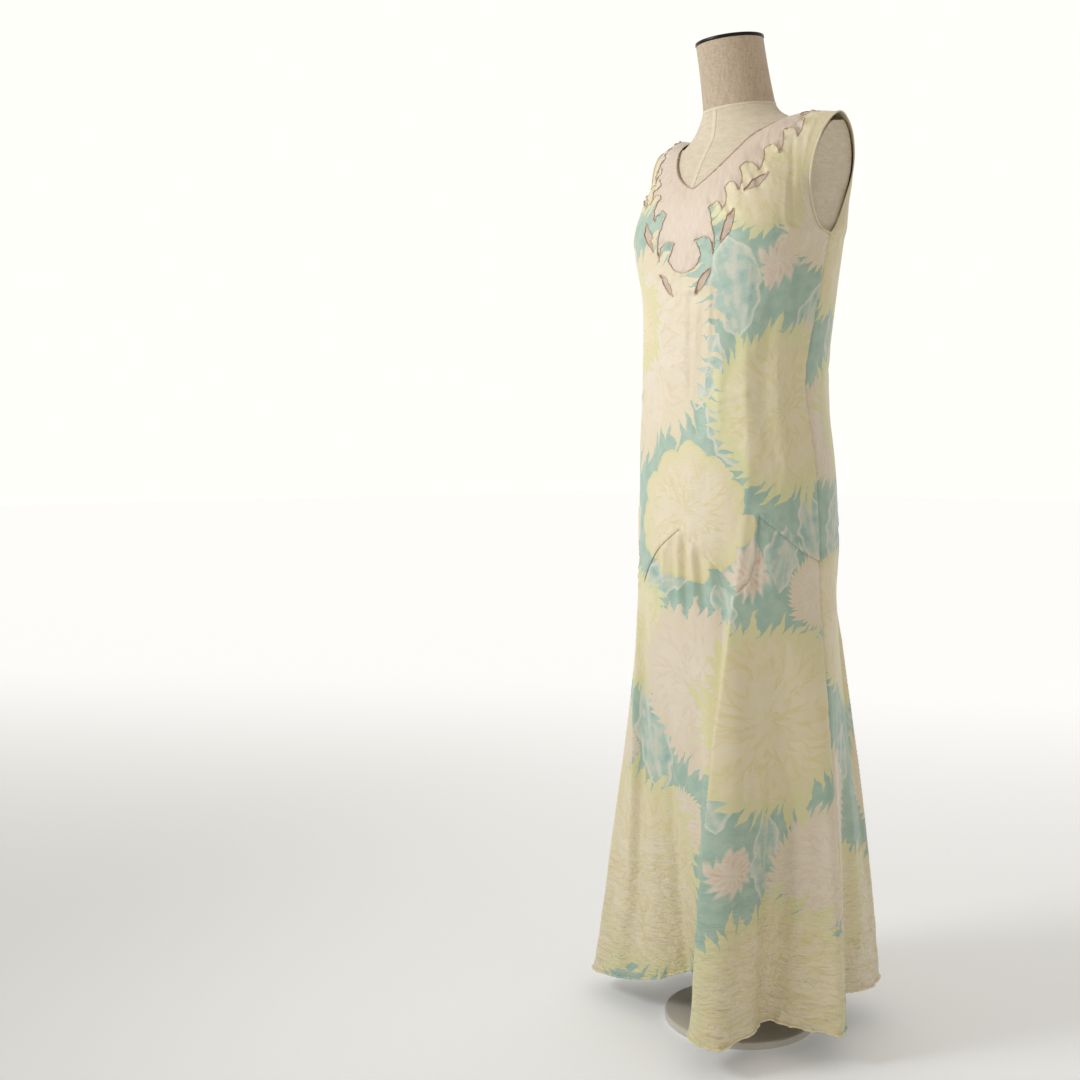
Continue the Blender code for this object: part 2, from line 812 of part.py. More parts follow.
def make_trim(cord, sheer_silk, print_silk):
    applied_cord("yoke_cord", moved(whole_leaf_edge(), CORD_INSET), cord)
    for leaf in LEAVES:
        for label, side in (("left", 1), ("right", -1)):
            ring = moved(leaf_outline(leaf, side), -CORD_INSET, closed=True)
            applied_cord(f"leaf_cord_{leaf.name}_{label}", ring, cord, closed=True)
    yoke_face = -(WALL / 2 + LAYER_GAP)
    neck_binding("neck_binding_front", False, sheer_silk, yoke_face + TRIM_LIFT)
    neck_binding("neck_binding_back", True, print_silk, WALL / 2 + TRIM_LIFT)
    armhole_binding("armhole_binding_left", 1, print_silk)
    armhole_binding("armhole_binding_right", -1, print_silk)
    placket = [
        (-90 - PLACKET_TURN, PLACKET_BOTTOM),
        (-90 + PLACKET_TURN, PLACKET_BOTTOM),
        (-90 + PLACKET_TURN, PLACKET_TOP),
        (-90 - PLACKET_TURN, PLACKET_TOP),
    ]
    lift = -(WALL + LAYER_GAP)
    panel("side_placket", [placket], print_silk, wall=SHEER_WALL, lift=lift)


def main():
    clear_scene()
    print_silk = finish_material("print_silk", (0.72, 0.78, 0.62), 0.45)
    sheer_silk = finish_material("sheer_silk", (0.85, 0.76, 0.68), 0.55)
    cord = finish_material("cord", (0.55, 0.40, 0.35), 0.5)
    linen = finish_material("linen", (0.74, 0.70, 0.58), 0.85)
    neck_linen = finish_material("neck_linen", (0.58, 0.50, 0.40), 0.85)
    cap_finish = finish_material("cap_wood", (0.04, 0.02, 0.015), 0.35)
    enamel = finish_material("enamel", (0.80, 0.79, 0.76), 0.3)
    make_form(linen, neck_linen, cap_finish, enamel)
    make_bodice(print_silk)
    make_skirt(print_silk)
    make_yoke(sheer_silk)
    make_trim(cord, sheer_silk, print_silk)


main()
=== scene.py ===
"""A printed silk evening dress on a limbless dress form: dense cloth over the solids, its print,
cords and bindings, the form's linen, and soft studio light.

A place on the cloth is its turn, in degrees round the body from the centre front towards the
wearer's left, and its level, which is height below the underarm and goes on over the shoulder.
"""

import math
from collections import namedtuple

import bpy
import numpy as np
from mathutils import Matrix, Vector
from mathutils.geometry import delaunay_2d_cdt


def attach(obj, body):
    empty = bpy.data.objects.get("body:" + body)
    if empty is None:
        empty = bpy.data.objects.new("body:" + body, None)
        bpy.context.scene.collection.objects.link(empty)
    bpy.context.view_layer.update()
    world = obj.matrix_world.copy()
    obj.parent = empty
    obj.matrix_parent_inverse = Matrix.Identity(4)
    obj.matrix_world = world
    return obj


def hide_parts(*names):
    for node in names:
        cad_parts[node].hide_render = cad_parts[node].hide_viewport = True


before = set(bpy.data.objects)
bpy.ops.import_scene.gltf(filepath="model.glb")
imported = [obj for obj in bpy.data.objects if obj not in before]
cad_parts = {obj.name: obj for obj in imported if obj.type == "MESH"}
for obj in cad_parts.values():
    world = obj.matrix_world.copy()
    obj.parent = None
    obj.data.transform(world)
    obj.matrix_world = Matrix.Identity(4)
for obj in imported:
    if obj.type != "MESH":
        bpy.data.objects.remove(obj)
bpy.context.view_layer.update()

# The dress's own sizes, as in the solids

UNDERARM = 1.146
SHOULDER = 1.376
ARMHOLE_RISE = SHOULDER - UNDERARM
V_LEVEL = 1.219
NECK_TURN_LEFT = 49.0
NECK_TURN_RIGHT = 55.0
BACK_NECK_LEVEL = 1.304
FOLD_START = 0.650
HEM_LEVEL = 0.045
FLARE = 1.28
BUST_FULLNESS = 0.014
BUST_LEVEL = 1.165
BUST_SPREAD = 0.075
TWIST = 2.2
LOBE_LEVEL = 1.095
LOBE_HALF_WIDTH = 0.031
LOBE_WIDEST_LEVEL = 1.115
YOKE_END_TURN = 68.0
BIB_END_TURN = 79.0
BIB_LEVEL = 1.045
FORM_CLEARANCE = 0.0064
FORM_SHOULDER_STEP = 0.70
FORM_PLATE_RISE = 0.19
NECK_FLARE = 2.6
NECK_BASE_RADIUS = 0.0535
NECK_BASE_CENTRE = np.array((0, 0.001, 1.349))
NECK_TOP_RADIUS = 0.0495
NECK_TOP_CENTRE = np.array((0, -0.020, 1.443))
NECK_TILT = math.radians(8)
CAP_RADIUS = 0.0505

LEVELS = np.array((
    (0.020, 0.187, 0.174, 0.138, 0.146, 0.000),
    (0.640, 0.152, 0.160, 0.132, 0.124, 0.000),
    (0.720, 0.152, 0.163, 0.134, 0.129, 0.000),
    (0.820, 0.148, 0.158, 0.132, 0.129, -0.004),
    (0.940, 0.137, 0.152, 0.126, 0.126, -0.012),
    (1.050, 0.150, 0.156, 0.124, 0.122, -0.002),
    (1.146, 0.163, 0.163, 0.123, 0.126, 0.008),
))
OVER_SHOULDER = np.array((
    (0.00, 0.163, 0.008, 1.146, -0.123, 1.146),
    (0.09, 0.160, -0.010, 1.154, -0.120, 1.166),
    (0.21, 0.158, -0.022, 1.177, -0.114, 1.196),
    (0.375, 0.158, -0.028, 1.209, -0.103, 1.233),
    (0.55, 0.160, -0.025, 1.246, -0.085, 1.269),
    (0.775, 0.167, -0.010, 1.290, -0.052, 1.308),
    (1.00, 0.173, 0.016, 1.315, 0.010, 1.334),
    (1.18, 0.172, 0.043, 1.306, 0.064, 1.321),
    (1.37, 0.168, 0.060, 1.275, 0.102, 1.286),
    (1.54, 0.164, 0.062, 1.237, 0.120, 1.248),
    (1.72, 0.161, 0.047, 1.195, 0.127, 1.211),
    (1.88, 0.161, 0.028, 1.162, 0.128, 1.176),
    (2.00, 0.163, 0.008, 1.146, 0.126, 1.146),
))
FOLDS = np.array((
    (-112, 0.220, 0.042),
    (-92, 0.165, 0.045),
    (-70, 0.238, 0.031),
    (-50, 0.160, 0.046),
    (-20, 0.074, 0.078),
    (7, 0.092, 0.072),
    (21, 0.178, 0.045),
    (33, 0.209, 0.041),
    (47, 0.158, 0.042),
    (62, 0.125, 0.048),
    (76, 0.170, 0.047),
    (86, 0.202, 0.045),
    (100, 0.168, 0.048),
    (118, 0.142, 0.056),
    (132, 0.186, 0.054),
    (144, 0.213, 0.053),
    (158, 0.176, 0.052),
    (172, 0.150, 0.054),
    (190, 0.200, 0.045),
    (206, 0.218, 0.044),
    (222, 0.165, 0.050),
    (234, 0.150, 0.052),
))
HIP_SEAM = np.array((
    (0.0, 0.730),
    (15.0, 0.702),
    (28.0, 0.668),
    (36.0, 0.647),
    (42.0, 0.664),
    (45.5, 0.692),
    (48.0, 0.752),
    (54.0, 0.740),
    (65.0, 0.719),
    (75.0, 0.701),
    (90.0, 0.686),
))
TONGUES = (
    (0.052, 1.116, 0.041, 1.183, 0.006),
    (0.066, 1.178, 0.061, 1.212, 0.006),
    (0.084, 1.208, 0.077, 1.242, 0.006),
    (0.103, 1.242, 0.099, 1.277, 0.006),
    (0.121, 1.271, 0.115, 1.311, 0.006),
    (0.136, 1.302, 0.122, 1.350, 0.015),
)
LOBE_TIP = (0.019, 1.139)
TONGUE_ARCH = 0.011
CURVE_STEPS = 9
LEAF_STEPS = 14
NECKLINE_STEPS = 60
# How far the neck edge sinks onto the form, by turn from the centre.
FRONT_NECK_DIP = np.array((
    (-55, 0.0086),
    (-44, 0.0069),
    (-34, 0.0039),
    (0, 0.0040),
    (26, 0.0038),
    (42, 0.0064),
    (50, 0.0072),
))
BACK_NECK_DIP = np.array((
    (-49, 0.0048),
    (-42, 0.0070),
    (-34, 0.0090),
    (-26, 0.0088),
    (-18, 0.0045),
    (0, 0.0038),
    (20, 0.0042),
    (30, 0.0072),
    (38, 0.0098),
    (47, 0.0096),
    (55, 0.0087),
))
NECK_DIP_WIDTH = 0.018
LEAVES = (
    ("low", 0.021, 1.063, 0.048, 1.098, 0.013),
    ("middle", 0.064, 1.131, 0.085, 1.181, 0.014),
    ("high", 0.093, 1.207, 0.117, 1.239, 0.012),
)
FORM_LEVELS = np.array((
    (0.700, 0.146, 0.112, 0.116),
    (0.780, 0.147, 0.108, 0.118),
    (0.860, 0.132, 0.096, 0.104),
    (0.940, 0.118, 0.090, 0.090),
    (1.020, 0.130, 0.100, 0.096),
    (1.090, 0.148, 0.120, 0.108),
))

# Cloth surfaces


def unit(vectors):
    return vectors / np.linalg.norm(vectors, axis=-1, keepdims=True)


def curve(rows, at, loop=None):
    """The rows' other columns at places in the first, on a smooth curve through the rows."""
    at = np.asarray(at, float)
    if loop:
        at = rows[0, 0] + (at - rows[0, 0]) % loop
        shift = np.array([loop] + [0.0] * (rows.shape[1] - 1))
        rows = np.vstack([rows[-2:] - shift, rows, rows[:2] + shift])
    x = rows[:, 0]
    at = np.clip(at, x[0], x[-1])
    last = len(x) - 1
    low, high = np.maximum(np.arange(last + 1) - 1, 0), np.minimum(np.arange(last + 1) + 1, last)
    slopes = (rows[high] - rows[low]) / (x[high] - x[low])[:, None]
    index = np.clip(np.searchsorted(x, at) - 1, 0, last - 1)
    span = (x[index + 1] - x[index])[..., None]
    part = (at[..., None] - x[index][..., None]) / span
    start, end = rows[index], rows[index + 1]
    a, b = slopes[index] * span, slopes[index + 1] * span
    change = end - start
    found = start + a * part + (3 * change - 2 * a - b) * part**2 + (a + b - 2 * change) * part**3
    return np.moveaxis(found[..., 1:], -1, 0)


def upper_cloth(turn, step):
    edge_x, edge_y, edge_z, mid_y, mid_z = curve(OVER_SHOULDER, step)
    flatness = np.sin(np.pi * step / 2) ** 2
    angle = np.radians(turn)
    across = (1 - flatness) * np.sin(angle) + flatness * turn / 90
    depth = (1 - flatness) * np.cos(angle) + flatness * (1 - across**2)
    y = edge_y + (mid_y - edge_y) * depth
    z = edge_z + (mid_z - edge_z) * (1 - across**2)
    return np.stack([edge_x * across, y, z], -1)


def lower_cloth(turn, height, back):
    left, right, front, rear, side = curve(LEVELS, height)
    angle = np.radians(turn)
    width = np.where(turn > 0, left, right)
    depth = rear if back else -front
    y = side * (1 - np.cos(angle)) + depth * np.cos(angle)
    point = np.stack([width * np.sin(angle), y, height], -1)
    round_turn = 180 - turn if back else turn
    reach, _ = curve(FOLDS, round_turn, 360)
    share = (np.maximum(FOLD_START - height, 0) / (FOLD_START - HEM_LEVEL)) ** FLARE
    around = np.radians(round_turn)
    folded = np.stack([reach * np.sin(around), -reach * np.cos(around), height], -1)
    return point + (folded - point) * share[..., None]


def cloth(turn, level, back):
    """Places on the middle of the cloth, with turns of 90 to 270 degrees on the back."""
    turn, level = np.broadcast_arrays(np.asarray(turn, float), np.asarray(level, float))
    own_turn = 180 - turn if back else turn
    step = np.clip((level - UNDERARM) / ARMHOLE_RISE, 0, 1.02)
    upper = upper_cloth(own_turn, 2 - step if back else step)
    lower = lower_cloth(own_turn, level, back)
    point = np.where((level <= UNDERARM)[..., None], lower, upper)
    if back:
        return point
    angle = np.radians(turn)
    nearness = bell((point[..., 2] - BUST_LEVEL) / BUST_SPREAD)
    push = BUST_FULLNESS * np.sin(2 * angle) ** 2 * nearness
    point[..., 0] += push * np.sin(angle)
    point[..., 1] -= push * np.cos(angle)
    return point


def outward(turn, level, back):
    across = cloth(turn + 0.4, level, back) - cloth(turn - 0.4, level, back)
    up = cloth(turn, level + 0.001, back) - cloth(turn, level - 0.001, back)
    return unit(np.cross(across, up))


def hem_height(turn):
    return curve(FOLDS, turn, 360)[1]


def turn_apart(turn, other=0.0):
    """Degrees between two turns, the short way round."""
    return np.abs((np.asarray(turn) - other + 180) % 360 - 180)


def seam_level(turn):
    from_centre = turn_apart(turn)
    return np.interp(np.minimum(from_centre, 180 - from_centre), HIP_SEAM[:, 0], HIP_SEAM[:, 1])


# Outlines, as arrays of (turn, level)

# Metres to a degree of turn when outlines are laid out flat, and on the bodice's own cloth.
TURN_SIZE = 0.003
DEGREE = 0.0026


def scaled(outline):
    return np.asarray(outline, float) * (TURN_SIZE, 1)


def unscaled(points):
    return np.asarray(points, float) / (TURN_SIZE, 1)


def spots_of(turn, level):
    return scaled(np.stack([turn, level], -1))


def resampled(outline, step, closed=False):
    """Evenly spaced points along an outline, as wide apart as the step."""
    points = scaled(outline)
    if closed:
        points = np.vstack([points, points[:1]])
    lengths = np.linalg.norm(np.diff(points, axis=0), axis=1)
    along = np.concatenate([[0], np.cumsum(lengths)])
    count = max(int(round(along[-1] / step)), 2)
    places = np.linspace(0, along[-1], count + 1)[: count if closed else count + 1]
    return unscaled(np.stack([np.interp(places, along, points[:, i]) for i in (0, 1)], -1))


def refined(outline, longest):
    """A closed outline with points added on its longer edges."""
    points = scaled(outline)
    result = []
    for a, b in zip(points, np.roll(points, -1, axis=0)):
        pieces = max(math.ceil(np.linalg.norm(b - a) / longest), 1)
        result += [a + (b - a) * i / pieces for i in range(pieces)]
    return np.array(result)


def moved(outline, distance, closed=False):
    """The outline moved to the left of its own direction."""
    points = scaled(outline)
    ahead, behind = np.roll(points, -1, axis=0), np.roll(points, 1, axis=0)
    if not closed:
        ahead[-1], behind[0] = points[-1], points[0]
    run = unit(ahead - behind)
    return unscaled(points + np.stack([-run[:, 1], run[:, 0]], -1) * distance)


def bend(start, end, bulge, steps=CURVE_STEPS):
    start, end = scaled([start, end])
    run = end - start
    side = np.array([-run[1], run[0]]) / np.linalg.norm(run) * bulge
    part = (np.arange(steps) / steps)[:, None]
    return [tuple(p) for p in unscaled(start + run * part + side * 4 * part * (1 - part))]


def twisted(outline):
    outline = np.asarray(outline, float)
    turned = outline[:, 0] + TWIST * np.cos(np.radians(outline[:, 0]))
    return np.stack([turned, outline[:, 1]], -1)


def from_centre(x, level):
    """The front place that lies x from the centre at this level."""
    turns = np.linspace(0, 90, 721)
    return float(np.interp(x, cloth(turns, level, False)[:, 0], turns)), level


def leaf_edge():
    points = [(YOKE_END_TURN, SHOULDER)]
    last_foot = None
    for foot_x, foot_level, tip_x, tip_level, bow in reversed(TONGUES):
        tip, foot = from_centre(tip_x, tip_level), from_centre(foot_x, foot_level)
        if last_foot:
            points += bend(last_foot, tip, -TONGUE_ARCH)
        points += bend(tip, foot, bow)
        last_foot = foot
    lobe_tip = from_centre(*LOBE_TIP)
    points += bend(last_foot, lobe_tip, -TONGUE_ARCH * 1.4)
    widest = from_centre(LOBE_HALF_WIDTH, LOBE_WIDEST_LEVEL)
    points += bend(lobe_tip, widest, 0.003)
    points += bend(widest, (0.0, LOBE_LEVEL), 0.005)
    return points


def whole_leaf_edge():
    left = leaf_edge()
    right = [(-turn, level) for turn, level in reversed(left)]
    return twisted(left + [(0.0, LOBE_LEVEL)] + right)


def leaf_outline(leaf, side):
    foot, tip = from_centre(leaf[1], leaf[2]), from_centre(leaf[3], leaf[4])
    outline = bend(foot, tip, -leaf[5] / 2, LEAF_STEPS) + bend(tip, foot, -leaf[5] / 2, LEAF_STEPS)
    return twisted([(side * turn, level) for turn, level in outline])[::side]


def neckline(back):
    part = np.arange(-NECKLINE_STEPS, NECKLINE_STEPS + 1) / NECKLINE_STEPS
    reach = np.where(part > 0, NECK_TURN_RIGHT, NECK_TURN_LEFT)
    if back:
        level = BACK_NECK_LEVEL + (SHOULDER - BACK_NECK_LEVEL) * np.abs(part) ** 2.2
        turn = 180 + reach * np.sign(part) * np.abs(part) ** 0.9
        return np.stack([turn, level], -1)
    level = V_LEVEL + (SHOULDER - V_LEVEL) * np.abs(part) ** 1.45
    return twisted(np.stack([-reach * part, level], -1))


def seam_line(back):
    centre = 180 if back else 0
    turns = {centre - 90, centre + 90}
    for turn in HIP_SEAM[:-1, 0]:
        turns |= {centre - turn, centre + turn}
    turns = np.array(sorted(turns), float)
    line = np.stack([turns, seam_level(turns)], -1)
    if not back:
        line[1:-1] = twisted(line)[1:-1]
    return line


# Meshes


# A row's height over its triangles' width, and extra rows of points beside the edges.
ROW_HEIGHT = 0.866
EDGE_ROWS = (0.0012, 0.0027)


def inside(points, loops):
    """Which points lie within the loops, counted even and odd."""
    crossings = np.zeros(len(points), int)
    for loop in loops:
        for (ax, ay), (bx, by) in zip(loop, np.roll(loop, -1, axis=0)):
            if ay == by:
                continue
            level = (ay > points[:, 1]) != (by > points[:, 1])
            crossings += level & (points[:, 0] < ax + (points[:, 1] - ay) / (by - ay) * (bx - ax))
    return crossings % 2 == 1


def distance_to(points, loops, closed=True):
    """Each point's distance from the nearest of the loops."""
    nearest = np.full(len(points), 1.0)
    for loop in loops:
        ends = np.roll(loop, -1, axis=0) if closed else loop[1:]
        for a, b in zip(loop, ends):
            run = b - a
            part = np.clip((points - a) @ run / max(run @ run, 1e-12), 0, 1)
            nearest = np.minimum(nearest, np.linalg.norm(points - a - part[:, None] * run, axis=1))
    return nearest


def beside(points, line):
    """Each point's distance from an open line, and how far along the line its nearest place is."""
    nearest, along = np.full(len(points), 1.0), np.zeros(len(points))
    start = 0.0
    for a, b in zip(line, line[1:]):
        run = b - a
        part = np.clip((points - a) @ run / max(run @ run, 1e-12), 0, 1)
        gap = np.linalg.norm(points - a - part[:, None] * run, axis=1)
        closer = gap < nearest
        along = np.where(closer, start + part * np.linalg.norm(run), along)
        nearest = np.minimum(nearest, gap)
        start += np.linalg.norm(run)
    return nearest, along


def flat_mesh(outlines, spacing):
    """(turns, levels, triangles) filling the outlines with an even mesh, finer along the edges."""
    loops = [refined(outline, spacing * 0.8) for outline in outlines]
    low, high = loops[0].min(0), loops[0].max(0)
    rows = np.arange(low[1], high[1], spacing * ROW_HEIGHT)
    columns = np.arange(low[0], high[0] + spacing, spacing)
    grid = np.array([(x + spacing / 2 * (i % 2), y) for i, y in enumerate(rows) for x in columns])
    grid = grid[inside(grid, loops)]
    grid = grid[distance_to(grid, loops) > EDGE_ROWS[-1] + 0.4 * spacing]
    for distance in EDGE_ROWS:
        offsets = [(loop, way * distance) for loop in loops for way in (1, -1)]
        rows = np.vstack([scaled(moved(unscaled(loop), offset, True)) for loop, offset in offsets])
        rows = rows[inside(rows, loops)]
        grid = np.vstack([grid, rows[distance_to(rows, loops) > 0.85 * distance]])
    edges, first = [], 0
    for loop in loops:
        count = len(loop)
        edges += [(first + i, first + (i + 1) % count) for i in range(count)]
        first += count
    points = np.vstack([*loops, grid])
    flat, _, faces = delaunay_2d_cdt([Vector(p) for p in points], edges, [], 0, 1e-7)[:3]
    flat, faces = np.array([tuple(p) for p in flat]), np.array(faces)
    a, b, c = (flat[faces[:, i]] for i in range(3))
    cross = (b - a)[:, 0] * (c - a)[:, 1] - (b - a)[:, 1] * (c - a)[:, 0]
    faces = faces[(np.abs(cross) > 1e-9) & inside((a + b + c) / 3, loops)]
    used, faces = np.unique(faces, return_inverse=True)
    places = unscaled(flat[used])
    return places[:, 0], places[:, 1], faces.reshape(-1, 3)


def part_mesh(name, node, points, faces, material, slot):
    """A smooth mesh that rides the dress and stands for a solid, if it has one."""
    mesh = bpy.data.meshes.new(name)
    mesh.from_pydata([tuple(p) for p in points], [], [tuple(f) for f in faces])
    mesh.validate()
    mesh.shade_smooth()
    mesh.materials.append(material)
    piece = bpy.data.objects.new(name, mesh)
    bpy.context.scene.collection.objects.link(piece)
    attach(piece, "root")
    if node:
        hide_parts(node)
    return piece


def set_attribute(piece, name, values, domain="POINT"):
    values = np.asarray(values, np.float32)
    kind, field = {3: ("FLOAT_VECTOR", "vector"), 4: ("FLOAT_COLOR", "color")}[values.shape[1]]
    layer = piece.data.attributes.new(name, kind, domain)
    layer.data.foreach_set(field, values.ravel())


def heading(path, closed=False):
    """The direction of a path at each of its points."""
    run = np.roll(path, -1, axis=0) - np.roll(path, 1, axis=0) if closed else np.gradient(path, axis=0)
    return unit(run)


def skin(count, sides, closed=False):
    """The faces over a row of rings, with an end on the first and the last unless it is closed."""
    faces = []
    for i in range(count if closed else count - 1):
        for k in range(sides):
            a, b = i * sides + k, i * sides + (k + 1) % sides
            faces.append((a, b, (b + sides) % (count * sides), (a + sides) % (count * sides)))
    if not closed:
        faces += [tuple(range(sides))[::-1], tuple((count - 1) * sides + k for k in range(sides))]
    return faces


def tube(path, side, normal, radii, sides, closed=False):
    """Points and faces of a tube along a path, with its own side and normal directions."""
    around = (np.arange(sides) * 2 * np.pi / sides)[None, :, None]
    ring = np.cos(around) * side[:, None] + np.sin(around) * normal[:, None]
    points = (path[:, None] + ring * np.asarray(radii).reshape(-1, 1, 1)).reshape(-1, 3)
    return points, skin(len(path), sides, closed)


def joined(parts):
    """Points and faces of several meshes as one."""
    points, faces, first = [], [], 0
    for some_points, some_faces in parts:
        points.append(np.asarray(some_points))
        faces += [tuple(i + first for i in face) for face in some_faces]
        first += len(some_points)
    return np.vstack(points), faces


# Uneven waves


WAVE_TABLE = 64


def waves(x, y, seed):
    """A smooth uneven surface from -1 to 1 with features about one unit wide."""
    table = np.random.default_rng(seed).random((WAVE_TABLE, WAVE_TABLE))
    x, y = np.broadcast_arrays(np.asarray(x, float), np.asarray(y, float))
    i, j = np.floor(x).astype(int), np.floor(y).astype(int)
    a, b = x - i, y - j
    a, b = a * a * (3 - 2 * a), b * b * (3 - 2 * b)
    i, j, right, above = (n % WAVE_TABLE for n in (i, j, i + 1, j + 1))
    low = table[i, j] * (1 - a) + table[right, j] * a
    high = table[i, above] * (1 - a) + table[right, above] * a
    return (low * (1 - b) + high * b) * 2 - 1


# A row for each kind of wave: its height, how many go to a degree and to a metre, and its seed.
BODICE_WAVES = ((0.0007, 0.10, 14, 21), (0.0003, 0.4, 60, 22))
SEAM_WAVES = ((0.0007, 0.55, 30, 23),)
SKIRT_WAVES = ((0.0010, 0.09, 7, 31),)
HEM_WAVES = ((0.0022, 0.30, 20, 33),)
HEM_EDGE_WAVES = ((0.0019, 0.75, 40, 34),)
YOKE_WAVES = ((0.0005, 0.65, 9, 41), (0.0005, 0.16, 12, 42))
BIB_WAVES = ((0.0011, 0.42, 7, 43),)


def ripples(rows, turn, level):
    return sum(row[0] * waves(turn * row[1], level * row[2], row[3]) for row in rows)


def bell(x):
    """From 1 at 0 down to nothing on both sides."""
    return np.exp(-(x**2))


def smooth(x):
    x = np.clip(x, 0, 1)
    return x * x * (3 - 2 * x)


def degree_size(level):
    """Metres of cloth to a degree of turn, which grows down the skirt."""
    return DEGREE + 0.0010 * smooth((FOLD_START - level) / 0.6)


# Creases, listed one by one: each runs between two places on the cloth, with its width, height and bow
# in millimetres. A plus height stands out. Open creases keep their height to their lower end.
MM = 0.001
CREASE_FADE = 0.35
Crease = namedtuple("Crease", "turn level end_turn end_level width height bow")


def crease_lift(rows, turn, level, open_end=False):
    lift = np.zeros_like(turn)
    for row in rows:
        row = Crease(*row)
        width, height, bow = row.width * MM, row.height * MM, row.bow * MM
        size = degree_size(row.level)
        x, y = (turn - row.turn) * size, level - row.level
        run_x, run_y = (row.end_turn - row.turn) * size, row.end_level - row.level
        length = math.hypot(run_x, run_y)
        part = (x * run_x + y * run_y) / length**2
        off = (x * run_y - y * run_x) / length - bow * 4 * part * (1 - part)
        fade = smooth(part / CREASE_FADE)
        if not open_end:
            fade = fade * smooth((1 - part) / CREASE_FADE)
        lift += height * bell(off / width) * fade * (part > 0)
    return lift


FRONT_CREASES = (
    (57, 1.10, 57, 0.80, 12, -1.6, 3),
    (64, 1.05, 66, 0.74, 12, 1.8, -4),
    (74, 1.27, 62, 1.13, 6.5, -2.4, 4),
    (68, 1.26, 58, 1.10, 5, 1.6, 3),
    (80, 1.20, 71, 1.08, 5.5, -1.8, 2),
    (84, 1.13, 52, 1.17, 8, -1.6, 6),
    (88, 1.09, 62, 1.12, 5, -1.3, 3),
    (12, 1.06, 17, 0.80, 12, -2.2, 3),
    (27, 1.04, 28, 0.84, 10, 1.6, -3),
    (-4, 1.05, -8, 0.78, 11, 1.5, 2),
    (3, 1.090, 4, 0.900, 3.4, 1.1, 1),
    (7, 1.085, 9, 0.880, 3, -1, 1),
    (11, 1.080, 13, 0.930, 3.2, 1.1, 1),
    (15, 1.085, 17, 0.910, 3, -1, 0),
    (19, 1.090, 22, 0.950, 3.4, 1, 1),
    (-7, 1.080, -8, 0.940, 3.4, -0.9, 1),
    (-22, 1.08, -20, 0.80, 13, -2.2, -4),
    (-40, 1.12, -42, 0.74, 12, 2.8, -3),
    (-56, 1.08, -53, 0.82, 13, -2.6, 4),
    (-73, 1.26, -61, 1.12, 6, -2.2, -3),
    (-79, 1.22, -70, 1.09, 5, -1.6, -2),
    (-85, 1.12, -55, 1.16, 7.5, -1.5, -5),
    (86, 0.99, 44, 0.955, 9, -1.1, 4),
    (-86, 1.00, -46, 0.960, 8, -1.2, -4),
    (60, 0.93, 20, 0.905, 7, 0.8, 3),
    (-30, 0.94, -70, 0.900, 7, 0.9, -3),
    (62, 1.366, 86, 1.352, 4.2, 2, 2),
    (60, 1.346, 76, 1.316, 4.6, -2.2, 2),
    (52, 1.288, 68, 1.262, 5, 2, -2),
    (71, 1.350, 72, 1.240, 5.6, -2, 3),
    (79, 1.358, 81, 1.265, 4.8, 1.6, -2),
    (-61, 1.364, -84, 1.350, 4.2, 2, -2),
    (-60, 1.344, -75, 1.314, 4.6, -2.1, -2),
    (-52, 1.286, -67, 1.258, 5, 1.9, 2),
    (-71, 1.348, -73, 1.238, 5.6, -1.9, -3),
)
BACK_CREASES = (
    (140, 1.16, 143, 0.76, 14, 2.8, 4),
    (128, 1.12, 130, 0.82, 12, -2.6, -3),
    (165, 1.20, 168, 0.90, 11, -1.6, 3),
    (186, 1.14, 183, 0.82, 13, 1.6, -4),
    (204, 1.18, 200, 0.80, 12, -2.1, 3),
    (222, 1.16, 220, 0.78, 14, 2.7, 4),
    (238, 1.11, 235, 0.84, 11, -2.4, -3),
    (105, 1.24, 118, 1.10, 6, -2, 3),
    (255, 1.25, 243, 1.10, 5.5, -2.1, -3),
    (110, 0.98, 160, 0.955, 9, -1.3, 4),
    (250, 0.99, 200, 0.950, 8, -1.2, -4),
    (150, 0.925, 205, 0.915, 7, 0.9, 3),
)
